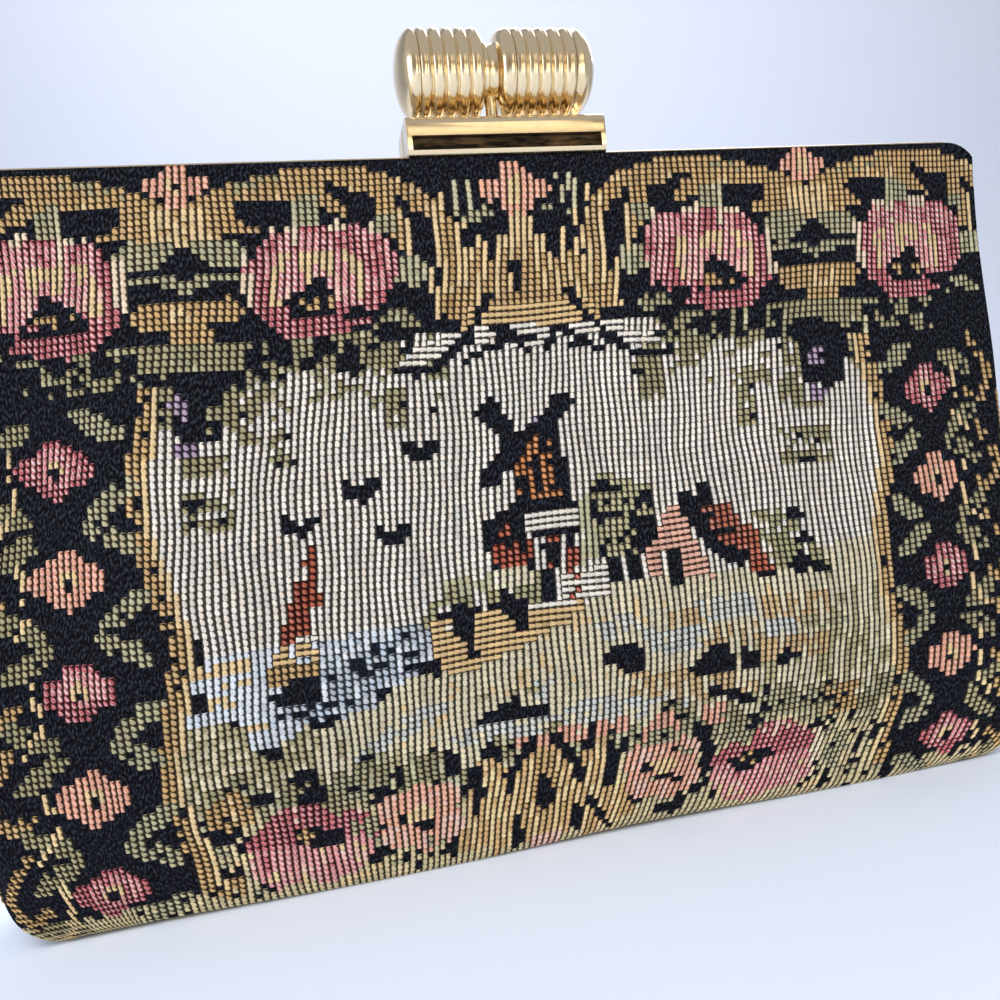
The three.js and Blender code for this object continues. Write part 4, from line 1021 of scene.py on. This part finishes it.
# The clasp plates: pressed gilt covers soldered over the middle of each frame half, end walls and all.
# Each has a lip rolled over at the front like a half-round bar, with an open slot under it.
PLATE_LENGTH, PLATE_HEIGHT, PLATE_WALL, PLATE_WINDOW, PLATE_EDGE = 37.2, 6.3, 0.9, 2.7, 1.6
PLATE_LOW = FRAME_TOP + 0.3


# the inside of each plate, seen through the slot: dull dark brown metal, whose colour is painted shade of the
# hollow
painted_shade_inside, tree, shader = start_material("dark_inside_painted_shade")
shade_mottle = node(tree, "ShaderNodeTexNoise", Scale=9.0, Detail=4.0)
painted_slot_shade = blend(tree, ramp(tree, shade_mottle.outputs["Fac"], 0.38, 0.62), "#140e0a", "#644d33")
tree.links.new(painted_slot_shade, shader.inputs["Base Color"])
shader.inputs["Roughness"].default_value = 0.4
shader.inputs["Metallic"].default_value = 0.8


def prism(name, outline, x0, x1):
    """A solid from an outline in the depth and height plane, drawn along the clutch's width."""
    n = len(outline)
    points = [(x, y, z) for x in (x0, x1) for y, z in outline]
    faces = [(k, k + n, (k + 1) % n + n, (k + 1) % n) for k in range(n)]
    faces += [tuple(range(n)), tuple(range(2 * n - 1, n - 1, -1))]
    return mesh_object(name, points, faces, smooth=False)


def cut(made, *tools):
    """Takes each tool out of the solid and discards the tool."""
    for tool in tools:
        hollow = made.modifiers.new("hollow", "BOOLEAN")
        hollow.operation, hollow.solver, hollow.object = "DIFFERENCE", "EXACT", tool
        settle(made)
        bpy.data.objects.remove(tool)


def settle(made):
    """Replaces the mesh by what its modifiers make of it."""
    whole = bpy.data.meshes.new_from_object(made.evaluated_get(bpy.context.evaluated_depsgraph_get()))
    made.modifiers.clear()
    made.data = whole


def clasp_plate(name, node_name, spin):
    front, back = -TOP_DEPTH / 2 + 0.2, -HALF_GAP / 2
    low, top = PLATE_LOW, PLATE_LOW + PLATE_HEIGHT
    edge = [
        (front + PLATE_EDGE - PLATE_EDGE * math.sin(a), top - PLATE_EDGE + PLATE_EDGE * math.cos(a))
        for a in np.radians(np.arange(0, 91, 7.5))
    ]
    inner = PLATE_LENGTH / 2 - PLATE_WALL
    lip_back, window = front + 1.5, low + PLATE_WINDOW
    hem = CLOTH_HEIGHT + 0.3
    skirt = [(front, low + 0.5), (front + 0.2, low + 0.1), (front + 0.9, hem)]
    skirt += [(lip_back, hem), (lip_back, low)]
    block = prism(name, [(back, low), (back, top)] + edge + skirt, -PLATE_LENGTH / 2, PLATE_LENGTH / 2)
    ceiling, sill = top - PLATE_WALL, low + 0.2
    hollow = [(back + 1, low - 1), (back + 1, ceiling), (lip_back, ceiling), (lip_back, low - 1)]
    under = prism("under", hollow, -inner, inner)
    belly = [(front - 1, window), (front + 0.35, window), (front + 0.75, window + 0.12)]
    belly += [(lip_back + 1, window + 0.3), (lip_back + 1, sill)]
    slot = prism("slot", [(front - 1, sill)] + belly, -inner, inner)
    cut(block, under, slot)
    soften = block.modifiers.new("soften", "BEVEL")
    soften.width, soften.segments = 0.22 * MM, 3
    soften.limit_method, soften.angle_limit = "ANGLE", math.radians(35)
    settle(block)
    block.data.materials.append(gilt)
    block.data.materials.append(painted_shade_inside)
    # the faces inside the hollow take the painted shade
    for polygon in block.data.polygons:
        x, y, z = polygon.center / MM
        if abs(x) < inner + 0.1 and y > front + 0.9 and low + 0.3 < z < ceiling + 0.1:
            polygon.material_index = 1
    if spin:
        block.data.transform(Matrix.Rotation(math.pi, 4, "Z"))
    block.data.shade_smooth()
    block.data.set_sharp_from_angle(angle=math.radians(32))
    return ride_and_replace(block, node_name)


clasp_plate("clasp_cover_front", "clasp_plate_front", False)
clasp_plate("clasp_cover_back", "clasp_plate_back", True)

# The clasp knobs: two cast and turned barrels, gilt and buffed, end to end over the plates.
# Each has five rolled ribs, and each rib a faint line round its crown that splits its highlight in two.
KNOB_RADIUS, KNOB_CLEAR, KNOB_SPAN = 7.9, 1.7, 38.0
RIB_COUNT, RIB_PITCH, RIB_DEPTH = 5, 2.36, 0.7
LEFT_DOME, WAIST_LENGTH, WAIST_RADIUS, SHOULDER_LENGTH, STEM_RADIUS = 3.9, 2.7, 5.2, 2.8, 1.1
knob_z = PLATE_LOW + PLATE_HEIGHT + KNOB_CLEAR + KNOB_RADIUS
row_length = RIB_COUNT * RIB_PITCH
left_ribs = LEFT_DOME - KNOB_SPAN / 2
waist_start = left_ribs + row_length + 0.3
right_shoulder = waist_start + WAIST_LENGTH
right_ribs = right_shoulder + SHOULDER_LENGTH


def rib_row(start):
    line = []
    for rib in range(RIB_COUNT):
        for t in np.linspace(0, 1, 25)[(1 if rib else 0) :]:
            rise = abs(math.sin(math.pi * t)) ** 0.75
            crown = 0.10 * math.exp(-(((t - 0.5) / 0.07) ** 2))
            line.append((KNOB_RADIUS - RIB_DEPTH * (1 - rise) - crown, start + RIB_PITCH * (rib + t)))
    return line


def dome(r0, x0, r1, x1, steps=14):
    angles = np.linspace(0, math.pi / 2, steps, endpoint=False)
    return [(r0 + (r1 - r0) * math.sin(a), x1 + (x0 - x1) * math.cos(a)) for a in angles]


groove = KNOB_RADIUS - RIB_DEPTH
left_profile = dome(0, -KNOB_SPAN / 2, KNOB_RADIUS - 0.1, left_ribs - 0.35)
left_profile += [(KNOB_RADIUS - 0.1, left_ribs - 0.3)] + rib_row(left_ribs)
left_profile += [(groove - 1.2, left_ribs + row_length), (0, left_ribs + row_length)]
right_profile = [(0, waist_start), (WAIST_RADIUS + 0.9, waist_start), (WAIST_RADIUS + 0.2, waist_start + 0.5)]
for t in np.linspace(0, 1, 9):
    reach_along = waist_start + 0.6 + (WAIST_LENGTH - 0.6) * t
    right_profile.append((WAIST_RADIUS + 0.35 * (2 * t - 1) ** 2, reach_along))
right_profile += dome(WAIST_RADIUS + 0.5, right_shoulder + 0.05, KNOB_RADIUS - 0.05, right_ribs - 0.35)
right_profile += [(KNOB_RADIUS - 0.05, right_ribs - 0.3)] + rib_row(right_ribs)
right_end = dome(0, KNOB_SPAN / 2, KNOB_RADIUS - 0.1, right_ribs + row_length + 0.3)
right_profile += right_end[::-1]
stem_low = knob_z - KNOB_RADIUS - KNOB_CLEAR + 0.3
for name, profile, stem_x, stem_y in (
    ("left", left_profile, left_ribs + row_length - RIB_PITCH / 2, HALF_GAP + STEM_RADIUS),
    ("right", right_profile, waist_start + WAIST_LENGTH / 2, -HALF_GAP - STEM_RADIUS),
):
    barrel = turned(f"knob_{name}", profile, 112, along_x, Vector((0, 0, knob_z)))
    flare = [(STEM_RADIUS + 0.25 * math.exp(-t * 3), stem_low + 0.15 + t) for t in np.linspace(0, 4.2, 12)]
    stem_profile = [(0, stem_low), (STEM_RADIUS + 0.25, stem_low)] + flare + [(0, stem_low + 4.4)]
    stem = turned(f"stem_{name}", stem_profile, 40, Matrix.Identity(4), Vector((stem_x, stem_y, 0)))
    finish_metal(barrel, f"clasp_knob_{name}")
    finish_metal(stem, f"clasp_knob_{name}")
